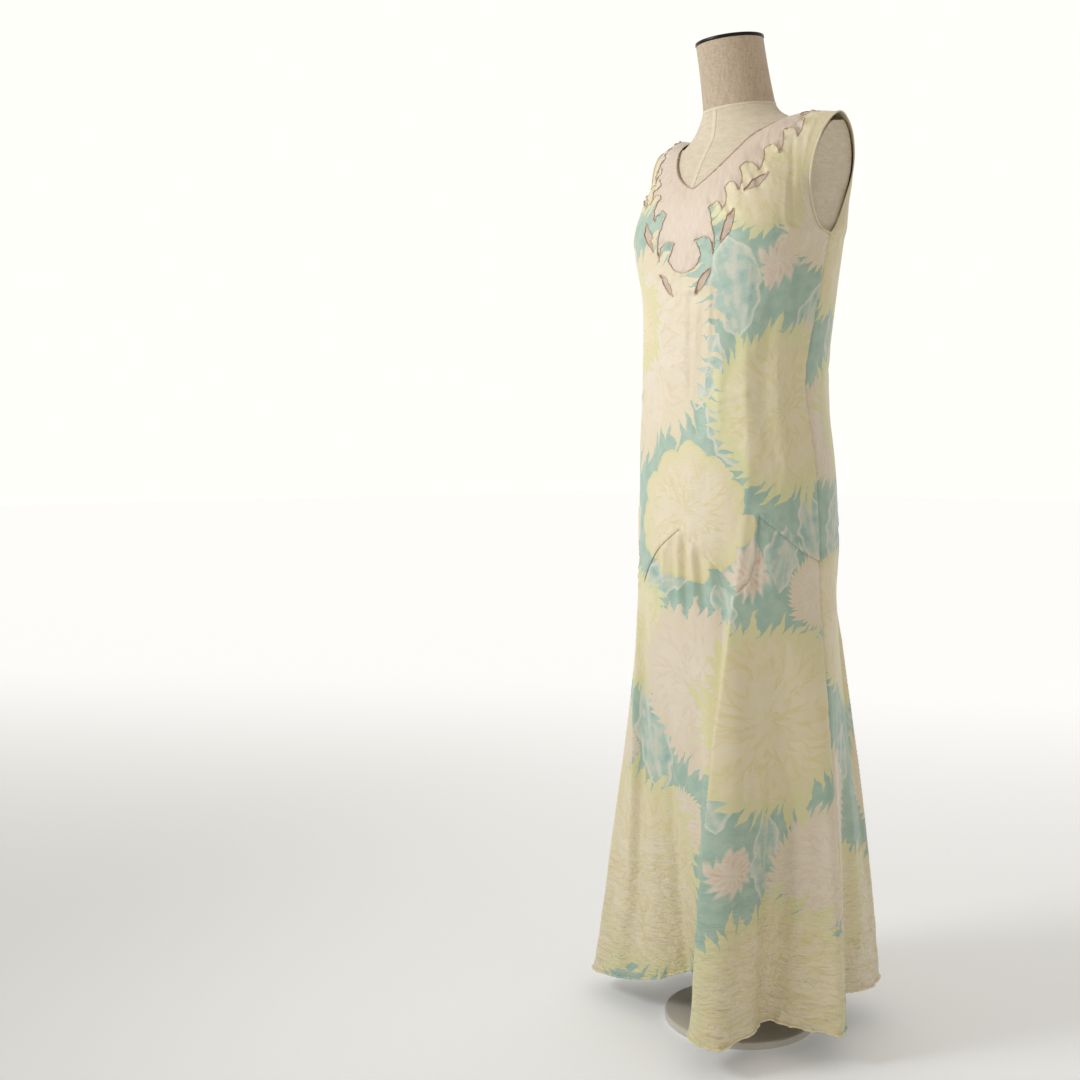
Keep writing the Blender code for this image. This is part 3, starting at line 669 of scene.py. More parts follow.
SKIRT_CREASES = (
    (-20, 0.735, -25, 0.625, 5, 1.4, 0),
    (-14, 0.740, -17, 0.600, 5.2, -2, 1),
    (-8, 0.745, -10, 0.612, 4.8, 2.6, 0),
    (-3, 0.750, -4, 0.585, 5.4, -3, -1),
    (2, 0.755, 2, 0.600, 4.6, 2.9, 0),
    (6, 0.750, 7, 0.580, 5, -3.2, 1),
    (10.5, 0.745, 13, 0.605, 5, 2.8, 0),
    (15, 0.740, 19, 0.590, 5.6, -2.7, 1),
    (20, 0.735, 25, 0.600, 5.2, 2.2, 0),
    (26, 0.735, 31, 0.615, 5, -1.6, 1),
    (44, 0.745, 41, 0.615, 4.5, 1.8, -2),
    (49, 0.765, 49, 0.620, 4.6, -2, 2),
    (54, 0.750, 58, 0.630, 4.8, 1.4, 1),
    (64, 0.735, 68, 0.640, 4.8, -1.3, 1),
    (-44, 0.745, -41, 0.615, 4.5, 1.8, 2),
    (-49, 0.765, -50, 0.620, 4.6, -1.9, -2),
    (-56, 0.750, -61, 0.630, 4.8, 1.5, 1),
    (36, 0.600, 43, 0.200, 14, 3, 6),
    (166, 0.740, 162, 0.612, 5, 1.8, 0),
    (172, 0.745, 170, 0.590, 5, -2.4, 1),
    (178, 0.750, 177, 0.600, 4.8, 2.7, 0),
    (183, 0.750, 184, 0.585, 5.2, -2.8, 1),
    (188, 0.745, 190, 0.605, 4.8, 2.4, 0),
    (194, 0.740, 198, 0.600, 5.2, -1.8, 1),
    (226, 0.760, 226, 0.620, 4.6, -1.8, 2),
    (231, 0.750, 235, 0.620, 4.6, 1.6, 2),
    (134, 0.760, 134, 0.620, 4.6, -1.8, 2),
    (129, 0.750, 125, 0.620, 4.6, 1.6, 2),
)
OPEN_CREASES = (
    (15, 0.560, 13, 0.120, 12, -4, 4),
    (58, 0.560, 55, 0.080, 11, -3.6, 4),
    (68, 0.480, 70, 0.060, 9, 2.4, -4),
    (41, 0.330, 41, 0.040, 8, -2.8, 3),
    (27, 0.300, 26, 0.040, 9, 2.2, 2),
    (81, 0.420, 80, 0.050, 8, -2.2, 3),
    (-12, 0.520, -24, 0.080, 12, -3.8, 4),
    (-34, 0.560, -40, 0.060, 13, 3, -4),
    (-58, 0.400, -60, 0.040, 10, -3, 3),
    (-68, 0.280, -74, 0.030, 8, 2.2, 3),
    (-82, 0.460, -84, 0.040, 9, -2.6, 3),
    (110, 0.540, 110, 0.060, 12, -3.6, 4),
    (125, 0.420, 127, 0.060, 9, 2.6, -3),
    (140, 0.330, 138, 0.050, 8, -2.4, 3),
    (151, 0.500, 152, 0.050, 10, 2.2, 3),
    (166, 0.560, 165, 0.060, 12, -3.4, 3),
    (183, 0.450, 182, 0.050, 9, 2.6, -3),
    (198, 0.360, 199, 0.050, 8, -2.6, 3),
    (214, 0.520, 214, 0.050, 11, 2.8, 3),
    (229, 0.560, 229, 0.060, 12, -3.6, 3),
    (244, 0.420, 246, 0.050, 9, 2.4, -3),
    (258, 0.340, 259, 0.050, 8, -2.4, 3),
)

# Long folds from the bust or the hip to the hem. Each row is a level and the crest's turn, then
# in millimetres its height, how far it falls away before and behind it, and the hollow beside it.
Fold = namedtuple("Fold", "level turn height before behind hollow")
FRONT_FOLD = (
    (1.12, 40, 0, 26, 22, 0),
    (1.05, 42, 3, 26, 22, 0),
    (0.94, 45, 5.5, 26, 20, 0),
    (0.83, 44.5, 6.2, 24, 20, 0),
    (0.74, 42, 6.2, 20, 22, 0),
    (0.69, 39.5, 7.5, 12, 26, 1),
    (0.64, 36, 12, 5.2, 32, 4),
    (0.6, 33.5, 16, 3.6, 36, 8),
    (0.54, 31.5, 19, 3.4, 40, 10.5),
    (0.44, 28.5, 19, 3.4, 42, 12),
    (0.32, 27, 16.5, 3.6, 44, 10.5),
    (0.2, 26, 12, 4.2, 44, 7.5),
    (0.1, 24, 6, 6, 40, 3.5),
    (0.045, 21.5, 4, 7, 36, 2),
)
RIGHT_FOLD = (
    (0.69, -41, 0, 30, 20, 0),
    (0.6, -42, 6, 34, 8, 3),
    (0.48, -45, 9.5, 38, 5, 6),
    (0.32, -48, 9, 40, 5, 6),
    (0.16, -52, 6, 40, 6, 4),
    (0.04, -56, 3, 36, 8, 2),
)
FRONT_FOLDS = (FRONT_FOLD, RIGHT_FOLD)
BACK_FOLDS = (
    (
        (0.69, 142, 0, 24, 30, 0),
        (0.56, 143, 8, 6, 36, 5),
        (0.38, 144, 9, 5, 40, 6),
        (0.16, 145, 5, 6, 40, 3.5),
        (0.03, 146, 2, 8, 36, 1.5),
    ),
    (
        (0.69, 205, 0, 30, 24, 0),
        (0.54, 205, 8.5, 36, 5.5, 5.5),
        (0.36, 206, 9, 40, 5, 6),
        (0.16, 207, 5, 40, 6, 3.5),
        (0.03, 208, 2, 36, 8, 1.5),
    ),
)
# The hollow is as wide as this many times the steep side's reach.
HOLLOW_WIDTH = 2.2
CREST_ROUNDNESS = 0.0024
HOLLOW_FADE = 0.026
SLIP_FADE = 0.12
SKIRT_CREASE_HEIGHT = 1.25


def fold_at(rows, turn, level):
    """The fold at each level, the distance from its crest and on its steep side, and its hollow's width."""
    table = np.array(rows)[::-1]
    columns = [np.interp(level, table[:, 0], table[:, k]) for k in range(6)]
    fold = Fold(*columns[:2], *(column * MM for column in columns[2:]))
    off = (turn - fold.turn) * degree_size(level)
    steep = np.where(fold.before < fold.behind, -off, off)
    return fold, off, steep, np.minimum(fold.before, fold.behind) * HOLLOW_WIDTH


def beyond(steep, width, fade):
    """From 0 at a fold's crest to 1 across its hollow, and then slowly back."""
    return smooth(steep / width) * np.exp(-np.maximum(steep - width, 0) / fade)


def fold_lift(rows, turn, level):
    fold, off, steep, width = fold_at(rows, turn, level)
    reach = np.where(off < 0, fold.before, fold.behind)
    slope = np.sqrt(off**2 + CREST_ROUNDNESS**2) - CREST_ROUNDNESS
    return fold.height * np.exp(-slope / reach) - fold.hollow * beyond(steep, width, HOLLOW_FADE)


def fold_slip(rows, turn, level):
    """How far the print has moved along beyond a fold's steep side, which takes up cloth."""
    fold, _, steep, width = fold_at(rows, turn, level)
    slip = (fold.height + fold.hollow) * beyond(steep, width, SLIP_FADE)
    return np.where(fold.before < fold.behind, -slip, slip) * smooth((0.66 - level) / 0.06)


# The hip seam: its raised lip, how far the skirt is tucked under it, and the reach of its waves.
SEAM_LIP = 0.0012
SEAM_LIP_PLACE = 0.004
SEAM_LIP_WIDTH = 0.0035
SEAM_TUCK = 0.0015
SEAM_ALLOWANCE = 0.0050
SEAM_BLEND = 0.008
SEAM_WAVE_REACH = 0.010
# The side seams' groove, and the pull of the cloth beside it.
SIDE_GROOVE = 0.0022
SIDE_GROOVE_WIDTH = 0.0019
SIDE_PULL = 0.0011
SIDE_PULL_REACH = 0.011
# Gathers of the skirt under the hip seam's points, fuller at the middle one and at the side ones.
GATHERS = 0.0012
GATHER_REACH = 0.022
POINT_WIDTH = 11
SIDE_POINT_TURN = 48
SIDE_POINT_WIDTH = 6
FAN_LEVEL = 0.80
# Waves along the hem, by how far up they reach.
HEM_WAVE_REACH = 0.018
HEM_EDGE_REACH = 0.010
SLACK = 0.0010
SLACK_REACH = 0.18


def flat_distance(turn, level, line):
    return distance_to(spots_of(turn, level), [scaled(line)], closed=False)


def side_gap(turn):
    """Distance from the nearer side seam, in metres."""
    return np.abs(90 - turn_apart(turn)) * DEGREE


def side_seam_lift(turn, level):
    gap = side_gap(turn)
    below = smooth((UNDERARM + 0.01 - level) / 0.02)
    pull = waves(level / 0.009, turn * 0.02, 11) * SIDE_PULL * np.exp(-gap / SIDE_PULL_REACH)
    return below * (pull - SIDE_GROOVE * bell(gap / SIDE_GROOVE_WIDTH))


def neck_dip(turn, level, back):
    """How far the cloth sinks near the neck edge, where it rests on the form."""
    table = BACK_NECK_DIP if back else FRONT_NECK_DIP
    amount = np.interp(turn - (180 if back else 0), table[:, 0], table[:, 1])
    return amount * bell(flat_distance(turn, level, neckline(back)) / NECK_DIP_WIDTH)


ARMHOLE_DIP = 0.0040
ARMHOLE_DIP_WIDTH = 0.022


def armhole_dip(turn, level):
    """How far the back's cloth falls in towards the form along the armholes."""
    between = smooth((level - UNDERARM) / 0.03) * smooth((SHOULDER - level) / 0.04)
    return ARMHOLE_DIP * bell(side_gap(turn) / ARMHOLE_DIP_WIDTH) * between


# The lines that the cords follow, filled in before the cloth is made.
CORD_LINES = []
PUCKER_REACH = 0.012


def cord_puckers(turn, level):
    """Small creases across each cord, where its stitches take the cloth up."""
    spots = spots_of(turn, level)
    lift = np.zeros_like(turn)
    for number, line in enumerate(CORD_LINES):
        gap, along = beside(spots, line)
        fine = waves(along / 0.0065, gap / 0.030, 24 + number)
        wide = waves(along / 0.0150, gap / 0.045, 84 + number)
        lift += np.exp(-((gap / PUCKER_REACH) ** 1.5)) * (0.0019 * fine + 0.0016 * wide)
    return lift


def bodice_lift(turn, level, back):
    """How far the bodice's cloth stands out from its even surface."""
    lift = crease_lift(BACK_CREASES if back else FRONT_CREASES, turn, level)
    if not back:
        lift += fold_lift(FRONT_FOLD, turn, level)
    lift += ripples(BODICE_WAVES, turn, level)
    lift += side_seam_lift(turn, level)
    seam = flat_distance(turn, level, seam_line(back))
    lift += SEAM_LIP * bell((seam - SEAM_LIP_PLACE) / SEAM_LIP_WIDTH)
    lift += np.exp(-seam / SEAM_WAVE_REACH) * ripples(SEAM_WAVES, turn, level)
    lift *= 1 - 0.3 * smooth((level - 1.18) / 0.12)
    if back:
        return lift - neck_dip(turn, level, True) - armhole_dip(turn, level)
    return lift + cord_puckers(turn, level)


def skirt_lift(turn, level, back):
    lift = crease_lift(SKIRT_CREASES, turn, level) + crease_lift(OPEN_CREASES, turn, level, True)
    lift *= SKIRT_CREASE_HEIGHT
    for fold in BACK_FOLDS if back else FRONT_FOLDS:
        lift += fold_lift(fold, turn, level)
    lift += ripples(SKIRT_WAVES, turn, level) * smooth((0.62 - level) / 0.3)
    lift += side_seam_lift(turn, level)
    seam = flat_distance(turn, level, seam_line(back))
    from_peak = turn_apart(turn, 180 if back else TWIST)
    side_points = bell((from_peak - SIDE_POINT_TURN) / SIDE_POINT_WIDTH)
    fullness = 0.6 + bell(from_peak / POINT_WIDTH) + 0.8 * side_points
    fan = np.arctan2(turn * DEGREE, FAN_LEVEL - level) * 60
    lift += GATHERS * fullness * np.exp(-seam / GATHER_REACH) * waves(fan, level * 6, 32)
    drop = level - hem_height(turn)
    lift += np.exp(-drop / HEM_WAVE_REACH) * ripples(HEM_WAVES, turn, drop)
    lift += np.exp(-drop / HEM_EDGE_REACH) * ripples(HEM_EDGE_WAVES, turn, drop)
    lift += SLACK * np.exp(-drop / SLACK_REACH) * waves(turn * 0.34 + level * 26, level * 66, 35)
    line = seam_line(back)
    near = seam < SEAM_ALLOWANCE + SEAM_BLEND
    above = level > np.interp(turn, line[:, 0], line[:, 1])
    share = smooth(np.where(above, 0.0, seam) / SEAM_BLEND)[near]
    under = bodice_lift(turn[near], level[near], back) - SEAM_TUCK
    lift[near] = lift[near] * share + under * (1 - share)
    return lift


YOKE_DEPTH = 0.0012
YOKE_OPEN_DEPTH = 0.0004
BIB_WAVE_LEVEL = 1.09
BIB_WAVE_HEIGHT = 0.035
BIB_WAVE_TURN = 15


def yoke_lift(turn, level, back=False):
    """The yoke follows the print's cloth, closely where it shows and lower where it is covered."""
    lift = bodice_lift(turn, level, False)
    spots = spots_of(turn, level)
    edge = distance_to(spots, CORD_LINES, closed=False)
    covered = inside(spots, [scaled(loop) for loop in BODICE_LOOPS])
    depth = YOKE_OPEN_DEPTH + (YOKE_DEPTH - YOKE_OPEN_DEPTH) * covered * smooth(edge / 0.004)
    near_bib = bell((level - BIB_WAVE_LEVEL) / BIB_WAVE_HEIGHT) * bell(turn / BIB_WAVE_TURN)
    own = ripples(YOKE_WAVES, turn, level) + near_bib * ripples(BIB_WAVES, turn, level)
    return lift + own * ~covered * smooth(edge / 0.006) - depth - neck_dip(turn, level, False)


def place(turn, level, back, lift):
    """Places on the cloth with this lift."""
    return cloth(turn, level, back) + outward(turn, level, back) * np.asarray(lift)[..., None]


# The print: blooms, leaves and small blossoms, in metres on the flat cloth


def print_place(turn, level, back):
    """Where the cloth lies on the flat print."""
    own_turn = turn - 180 if back else turn
    across = own_turn * degree_size(level)
    for fold in BACK_FOLDS if back else FRONT_FOLDS:
        across = across + fold_slip(fold, turn, level)
    return np.stack([across, level], -1)


def print_centre(bloom, back):
    """Where a bloom's centre lies on the flat print."""
    own_turn = bloom.turn - 180 if back else bloom.turn
    return np.array((own_turn * degree_size(bloom.level), bloom.level))


# Three layers of blooms, and then the leaves, where round is 1 for a small blossom.
Bloom = namedtuple("Bloom", "turn level radius tone round angle")
FRONT_PRINT = (
    (
        (-36, 0.99, 0.176, 0.1, 0, 20),
        (-38, 0.565, 0.108, 0.86, 0, 150),
        (86, 0.27, 0.098, 0.02, 0, 10),
        (-84, 0.72, 0.105, 0.66, 0, 50),
        (-84, 0.41, 0.12, 0.2, 0, 300),
        (17, 0.06, 0.11, 0.3, 0, 260),
        (91, 1.18, 0.11, 0.1, 0, 120),
        (-84, 0.09, 0.125, 0.3, 0, 60),
        (-32, 1.29, 0.1, 0.3, 0, 60),
    ),
    (
        (8, 0.5, 0.128, 0, 0, 80),
        (59, 0.09, 0.15, 0.6, 0, 200),
        (46, 1.243, 0.112, 0.55, 0, 15),
        (-74, 1.25, 0.115, 0.36, 0, 120),
        (93, 0.96, 0.08, 0.2, 0, 60),
        (-50, 1.03, 0.096, 0.64, 0, 140),
        (88, 0.64, 0.06, 0.05, 0, 33),
        (-6, 0.3, 0.06, 0.06, 0, 340),
    ),
    (
        (68, 0.895, 0.138, 0.78, 0, 70),
        (8, 0.752, 0.106, 0.42, 1, 0),
        (55, 0.462, 0.156, 0.62, 0, 110),
        (-40, 0.205, 0.178, 0.58, 0, 30),
        (-62, 0.73, 0.07, 0.12, 1, 200),
        (74, 1.345, 0.105, 0.5, 0, 60),
    ),
    (
        (34, 1.07, 0.078, 0.1, 0, 100),
        (57, 1.1, 0.06, 0.8, 1, 60),
        (20, 0.955, 0.06, 0.3, 0, 75),
        (45, 0.668, 0.064, 0.8, 1, 80),
        (64, 0.69, 0.062, 0.5, 0, 250),
        (83, 0.735, 0.06, 0.2, 0, 100),
        (38, 0.262, 0.05, 0.8, 1, 70),
        (54, 0.272, 0.07, 0.2, 0, 100),
        (28, 0.365, 0.055, 0.6, 0, 110),
        (-29, 0.41, 0.088, 0.4, 0, 100),
        (-51, 0.392, 0.056, 0.8, 1, 20),
        (-9, 0.655, 0.066, 0.2, 0, 20),
        (30, 0.61, 0.05, 0.9, 0, 100),
        (-62, 1.105, 0.06, 0.8, 1, 130),
        (-56, 0.6, 0.066, 0.6, 0, 100),
        (33, 0.86, 0.062, 0.3, 0, 120),
        (86, 0.52, 0.07, 0.7, 0, 100),
        (84, 1.02, 0.06, 0.7, 0, 80),
        (-2, 0.13, 0.06, 0.7, 0, 80),
    ),
)
BACK_PRINT = (
    (
        (215, 1.06, 0.16, 0.12, 0, 20),
        (106, 1.14, 0.12, 0.68, 0, 70),
        (172, 0.56, 0.13, 0.05, 0, 10),
        (252, 0.64, 0.12, 0.7, 0, 40),
        (128, 0.13, 0.145, 0.34, 0, 90),
        (184, 0.14, 0.1, 0.04, 0, 140),
        (92, 0.34, 0.095, 0.04, 0, 200),
        (246, 0.12, 0.12, 0.3, 0, 210),
    ),
    (
        (176, 1.255, 0.1, 0.3, 0, 10),
        (108, 1.31, 0.095, 0.62, 0, 200),
        (110, 0.6, 0.115, 0.5, 0, 300),
        (160, 0.345, 0.095, 0.2, 0, 70),
        (256, 0.95, 0.11, 0.12, 0, 60),
        (212, 0.19, 0.11, 0.8, 0, 20),
        (242, 1.26, 0.09, 0.66, 0, 20),
        (106, 0.87, 0.085, 0.05, 0, 20),
    ),
    (
        (148, 0.9, 0.14, 0.76, 0, 120),
        (200, 0.765, 0.1, 0.42, 1, 40),
        (222, 0.42, 0.16, 0.62, 0, 200),
        (102, 0.19, 0.12, 0.52, 0, 70),
        (132, 0.52, 0.07, 0.6, 0, 70),
    ),
    (
        (178, 1.11, 0.076, 0.2, 0, 80),
        (148, 1.09, 0.06, 0.8, 1, 50),
        (118, 1, 0.066, 0.5, 0, 100),
        (110, 0.735, 0.068, 0.3, 0, 70),
        (168, 0.72, 0.06, 0.8, 1, 90),
        (226, 0.86, 0.066, 0.6, 0, 80),
        (250, 0.78, 0.05, 0.8, 1, 10),
        (142, 0.44, 0.064, 0.2, 0, 130),
        (192, 0.44, 0.058, 0.8, 1, 130),
        (114, 0.39, 0.066, 0.9, 0, 60),
        (246, 0.28, 0.066, 0.4, 0, 80),
        (186, 0.28, 0.06, 0.7, 0, 100),
        (150, 0.225, 0.052, 0.8, 1, 20),
    ),
)
PRINT_LAYERS = ("bloom_low", "bloom_middle", "bloom_high", "leaf")


def bloom_places(piece, blooms, turn, level, back, shift):
    """At each corner of each face, the coordinates of the bloom nearest to that face."""
    corners = np.empty(len(piece.data.loops), int)
    piece.data.loops.foreach_get("vertex_index", corners)
    counts = np.empty(len(piece.data.polygons), int)
    piece.data.polygons.foreach_get("loop_total", counts)
    starts = np.concatenate([[0], np.cumsum(counts)[:-1]])
    spots = (print_place(turn, level, back) + shift)[corners]
    middles = np.repeat(np.add.reduceat(spots, starts) / counts[:, None], counts, axis=0)
    nearest = np.full(len(spots), np.inf)
    found = np.zeros((len(spots), 4))
    for bloom in (Bloom(*row) for row in blooms):
        centre = print_centre(bloom, back)
        distance = np.linalg.norm(middles - centre, axis=1) / bloom.radius
        near = distance < nearest
        nearest = np.where(near, distance, nearest)
        offset = (spots - centre) / bloom.radius
        angle = math.radians(bloom.angle)
        c, s = math.cos(angle), math.sin(angle)
        x = offset[:, 0] * c + offset[:, 1] * s
        y = offset[:, 1] * c - offset[:, 0] * s
        own = np.stack([x, y, np.full(len(x), bloom.tone), np.full(len(x), bloom.round)], -1)
        found[near] = own[near]
    return found


def add_print(piece, turn, level, back, shift=(0.0, 0.0)):
    spots = print_place(turn, level, back) + shift
    set_attribute(piece, "cloth_place", np.stack([spots[:, 0], spots[:, 1], spots[:, 0] * 0], -1))
    for name, blooms in zip(PRINT_LAYERS, BACK_PRINT if back else FRONT_PRINT):
        values = bloom_places(piece, blooms, turn, level, back, shift)
        set_attribute(piece, name, values, "CORNER")


# Materials


def srgb(code):
    """A colour from its usual hexadecimal code."""
    channels = [int(code[i : i + 2], 16) / 255 for i in (0, 2, 4)]
    return tuple(c / 12.92 if c <= 0.04045 else ((c + 0.055) / 1.055) ** 2.4 for c in channels) + (1.0,)


def smooth_step(tree, number, low, high, first, last):
    """Smoothly from first to last as the number goes from low to high."""
    node = tree.nodes.new("ShaderNodeMapRange")
    node.interpolation_type = "SMOOTHSTEP"
    tree.links.new(number, node.inputs["Value"])
    for name, value in (("From Min", low), ("From Max", high), ("To Min", first), ("To Max", last)):
        node.inputs[name].default_value = value
    return node.outputs["Result"]


def operator(kind, swapped=False):
    """A method that adds this operation to the node tree."""

    def method(self, *others):
        values = (*others, self) if swapped else (self, *others)
        return self.nodes.math(kind, *values)

    return method


class Number:
    """A number in a material's node tree, so that sums can be written plainly."""

    __add__ = operator("ADD")
    __radd__ = operator("ADD", swapped=True)
    __sub__ = operator("SUBTRACT")
    __rsub__ = operator("SUBTRACT", swapped=True)
    __mul__ = operator("MULTIPLY")
    __rmul__ = operator("MULTIPLY", swapped=True)
    __truediv__ = operator("DIVIDE")
    __abs__ = operator("ABSOLUTE")

    def __init__(self, nodes, socket):
        self.nodes, self.socket = nodes, socket

    def to(self, low, high, first=0.0, last=1.0):
        """Smoothly from first to last as this number goes from low to high."""
        return Number(self.nodes, smooth_step(self.nodes.tree, self.socket, low, high, first, last))

    def band(self, low, full, still_full, high):
        """Up from 0 to 1 between the first two numbers and down again between the last two."""
        return self.to(low, full) * self.to(still_full, high, 1.0, 0.0)


class Nodes:
    def __init__(self, name):
        self.material = bpy.data.materials.new(name)
        self.material.use_nodes = True
        self.tree = self.material.node_tree
        self.shader = self.tree.nodes["Principled BSDF"]

    def new(self, kind):
        return self.tree.nodes.new(kind)

    def where(self):
        """The place on the object."""
        return self.new("ShaderNodeTexCoord").outputs["Object"]

    def join(self, value, socket):
        """Give the socket a number, another socket's value, a colour's code or a constant."""
        if isinstance(value, Number):
            self.tree.links.new(value.socket, socket)
        elif hasattr(value, "is_output"):
            self.tree.links.new(value, socket)
        elif isinstance(value, str):
            socket.default_value = srgb(value)
        else:
            socket.default_value = value

    def math(self, operation, *values):
        node = self.new("ShaderNodeMath")
        node.operation = operation
        for value, socket in zip(values, node.inputs):
            self.join(value, socket)
        return Number(self, node.outputs[0])

    def mix(self, share, first, second):
        """The first colour, with this share of the second."""
        node = self.new("ShaderNodeMix")
        node.data_type = "RGBA"
        self.join(share, node.inputs[0])
        self.join(first, node.inputs[6])
        self.join(second, node.inputs[7])
        return node.outputs[2]

    def attribute(self, name):
        """(x, y, z, alpha) of a stored attribute, and its vector socket."""
        node = self.new("ShaderNodeAttribute")
        node.attribute_name = name
        parts = self.new("ShaderNodeSeparateXYZ")
        self.tree.links.new(node.outputs["Vector"], parts.inputs[0])
        numbers = [Number(self, parts.outputs[i]) for i in range(3)]
        return (*numbers, Number(self, node.outputs["Alpha"])), node.outputs["Vector"]

    def scaled(self, vector, size):
        node = self.new("ShaderNodeMapping")
        self.tree.links.new(vector, node.inputs["Vector"])
        node.inputs["Scale"].default_value = size
        return node.outputs["Vector"]

    def noise(self, vector, scale, detail=2.0, roughness=0.5, distortion=0.0):
        node = self.new("ShaderNodeTexNoise")
        self.tree.links.new(vector, node.inputs["Vector"])
        settings = {"Scale": scale, "Detail": detail, "Roughness": roughness, "Distortion": distortion}
        for name, value in settings.items():
            node.inputs[name].default_value = value
        return Number(self, node.outputs[0])

    def random(self, number):
        node = self.new("ShaderNodeTexWhiteNoise")
        node.noise_dimensions = "1D"
        self.join(number, node.inputs["W"])
        return Number(self, node.outputs["Value"])

    def ramp(self, number, colours):
        node = self.new("ShaderNodeValToRGB")
        self.join(number, node.inputs[0])
        stops = node.color_ramp.elements
        while len(stops) < len(colours):
            stops.new(0.5)
        for i, (stop, code) in enumerate(zip(stops, colours)):
            stop.position = i / (len(colours) - 1)
            stop.color = srgb(code)
        return node.outputs[0]

    def bump(self, height, distance, before=None):
        node = self.new("ShaderNodeBump")
        self.join(height, node.inputs["Height"])
        node.inputs["Distance"].default_value = distance
        if before is not None:
            self.tree.links.new(before, node.inputs["Normal"])
        return node.outputs["Normal"]

    def finish(self, colour, roughness, normal=None, **settings):
        self.join(colour, self.shader.inputs["Base Color"])
        self.join(roughness, self.shader.inputs["Roughness"])
        if normal is not None:
            self.join(normal, self.shader.inputs["Normal"])
        for name, value in settings.items():
            self.shader.inputs[name.replace("_", " ")].default_value = value
        return self.material


# A ring of petals: how many, how far they reach, how deep the gaps between them are, how far
# they lean, and how much their reach varies.
Ring = namedtuple("Ring", "count reach gap lean uneven")
FEATHERS = (
    Ring(43, 1.03, 0.16, 4.4, 0.14),
    Ring(27, 0.82, 0.20, -2.2, 0.13),
    Ring(19, 0.64, 0.20, 2.0, 0.12),
    Ring(13, 0.45, 0.18, -1.5, 0.10),
    Ring(8, 0.25, 0.13, 1.2, 0.07),
)
ROUND_EDGE = Ring(11, 1.0, 0.10, 0.0, 0.11)


def ring_margin(nodes, rho, around, ring, seed, rounded=False):
    """(how far inside the ring's petals, each petal's own number, place across the petal)."""
    phase = around * ring.count + rho * ring.lean + seed
    cell = nodes.math("FLOOR", phase)
    across = abs((phase - cell) * 2.0 - 1.0)
    own = nodes.random(nodes.math("FLOORED_MODULO", cell, float(ring.count)) + seed * 7.3)
    shape = across * across if rounded else nodes.math("POWER", across, 0.9)
    margin = ring.reach - rho - shape * ring.gap - own * ring.uneven
    return margin, own, across


def bloom(nodes, name, warp, patches, below):
    """The colour with this layer of blooms laid over it."""
    (x, y, tone, roundness), _ = nodes.attribute(name)
    x, y = x + warp[0], y + warp[1]
    rho = nodes.math("SQRT", x * x + y * y)
    around = nodes.math("ARCTAN2", y, x) / (2 * math.pi)
    body = nodes.ramp(tone, ("DBCEB9", "DED1B5", "DDD0AC", "DAD2AA"))
    edge = nodes.ramp(tone, ("DACBB3", "D9CFA3", "D2D09B", "CCD09B"))
    line = nodes.ramp(tone, ("D2BFA6", "D2C388", "D2C580", "CCC684"))
    light = nodes.ramp(tone, ("E1D5C5", "E4DAC5", "E2D8BA", "DFD8B6"))
    colour = None
    for i, ring in enumerate(FEATHERS):
        margin, own, across = ring_margin(nodes, rho, around, ring, 3.7 * i + 0.5)
        if i == 0:
            scallops, _, _ = ring_margin(nodes, rho, around, ROUND_EDGE, 1.9, rounded=True)
            outline = margin * (1.0 - roundness) + scallops * roundness
            petal = nodes.mix(outline.to(0.0, 0.34) * 0.8 + own * 0.2, edge, body)
            rim = outline.band(0.004, 0.016, 0.016, 0.045) * roundness
            colour = nodes.mix(rim * 0.6, petal, line)
            continue
        strokes = patches[i % 2]
        petal = nodes.mix(own * 0.7 + across * 0.3, body, light)
        groove = across.to(0.35, 1.0) * margin.band(0.0, 0.05, 0.08, 0.34)
        petal = nodes.mix(groove * strokes * 0.5, petal, line)
        rim = margin.band(0.0, 0.020, 0.020, 0.15)
        petal = nodes.mix(rim * strokes * 0.6, petal, line)
        colour = nodes.mix(margin.to(-0.008, 0.014) * 0.85, colour, petal)
    return nodes.mix(outline.to(-0.004, 0.008), below, colour)


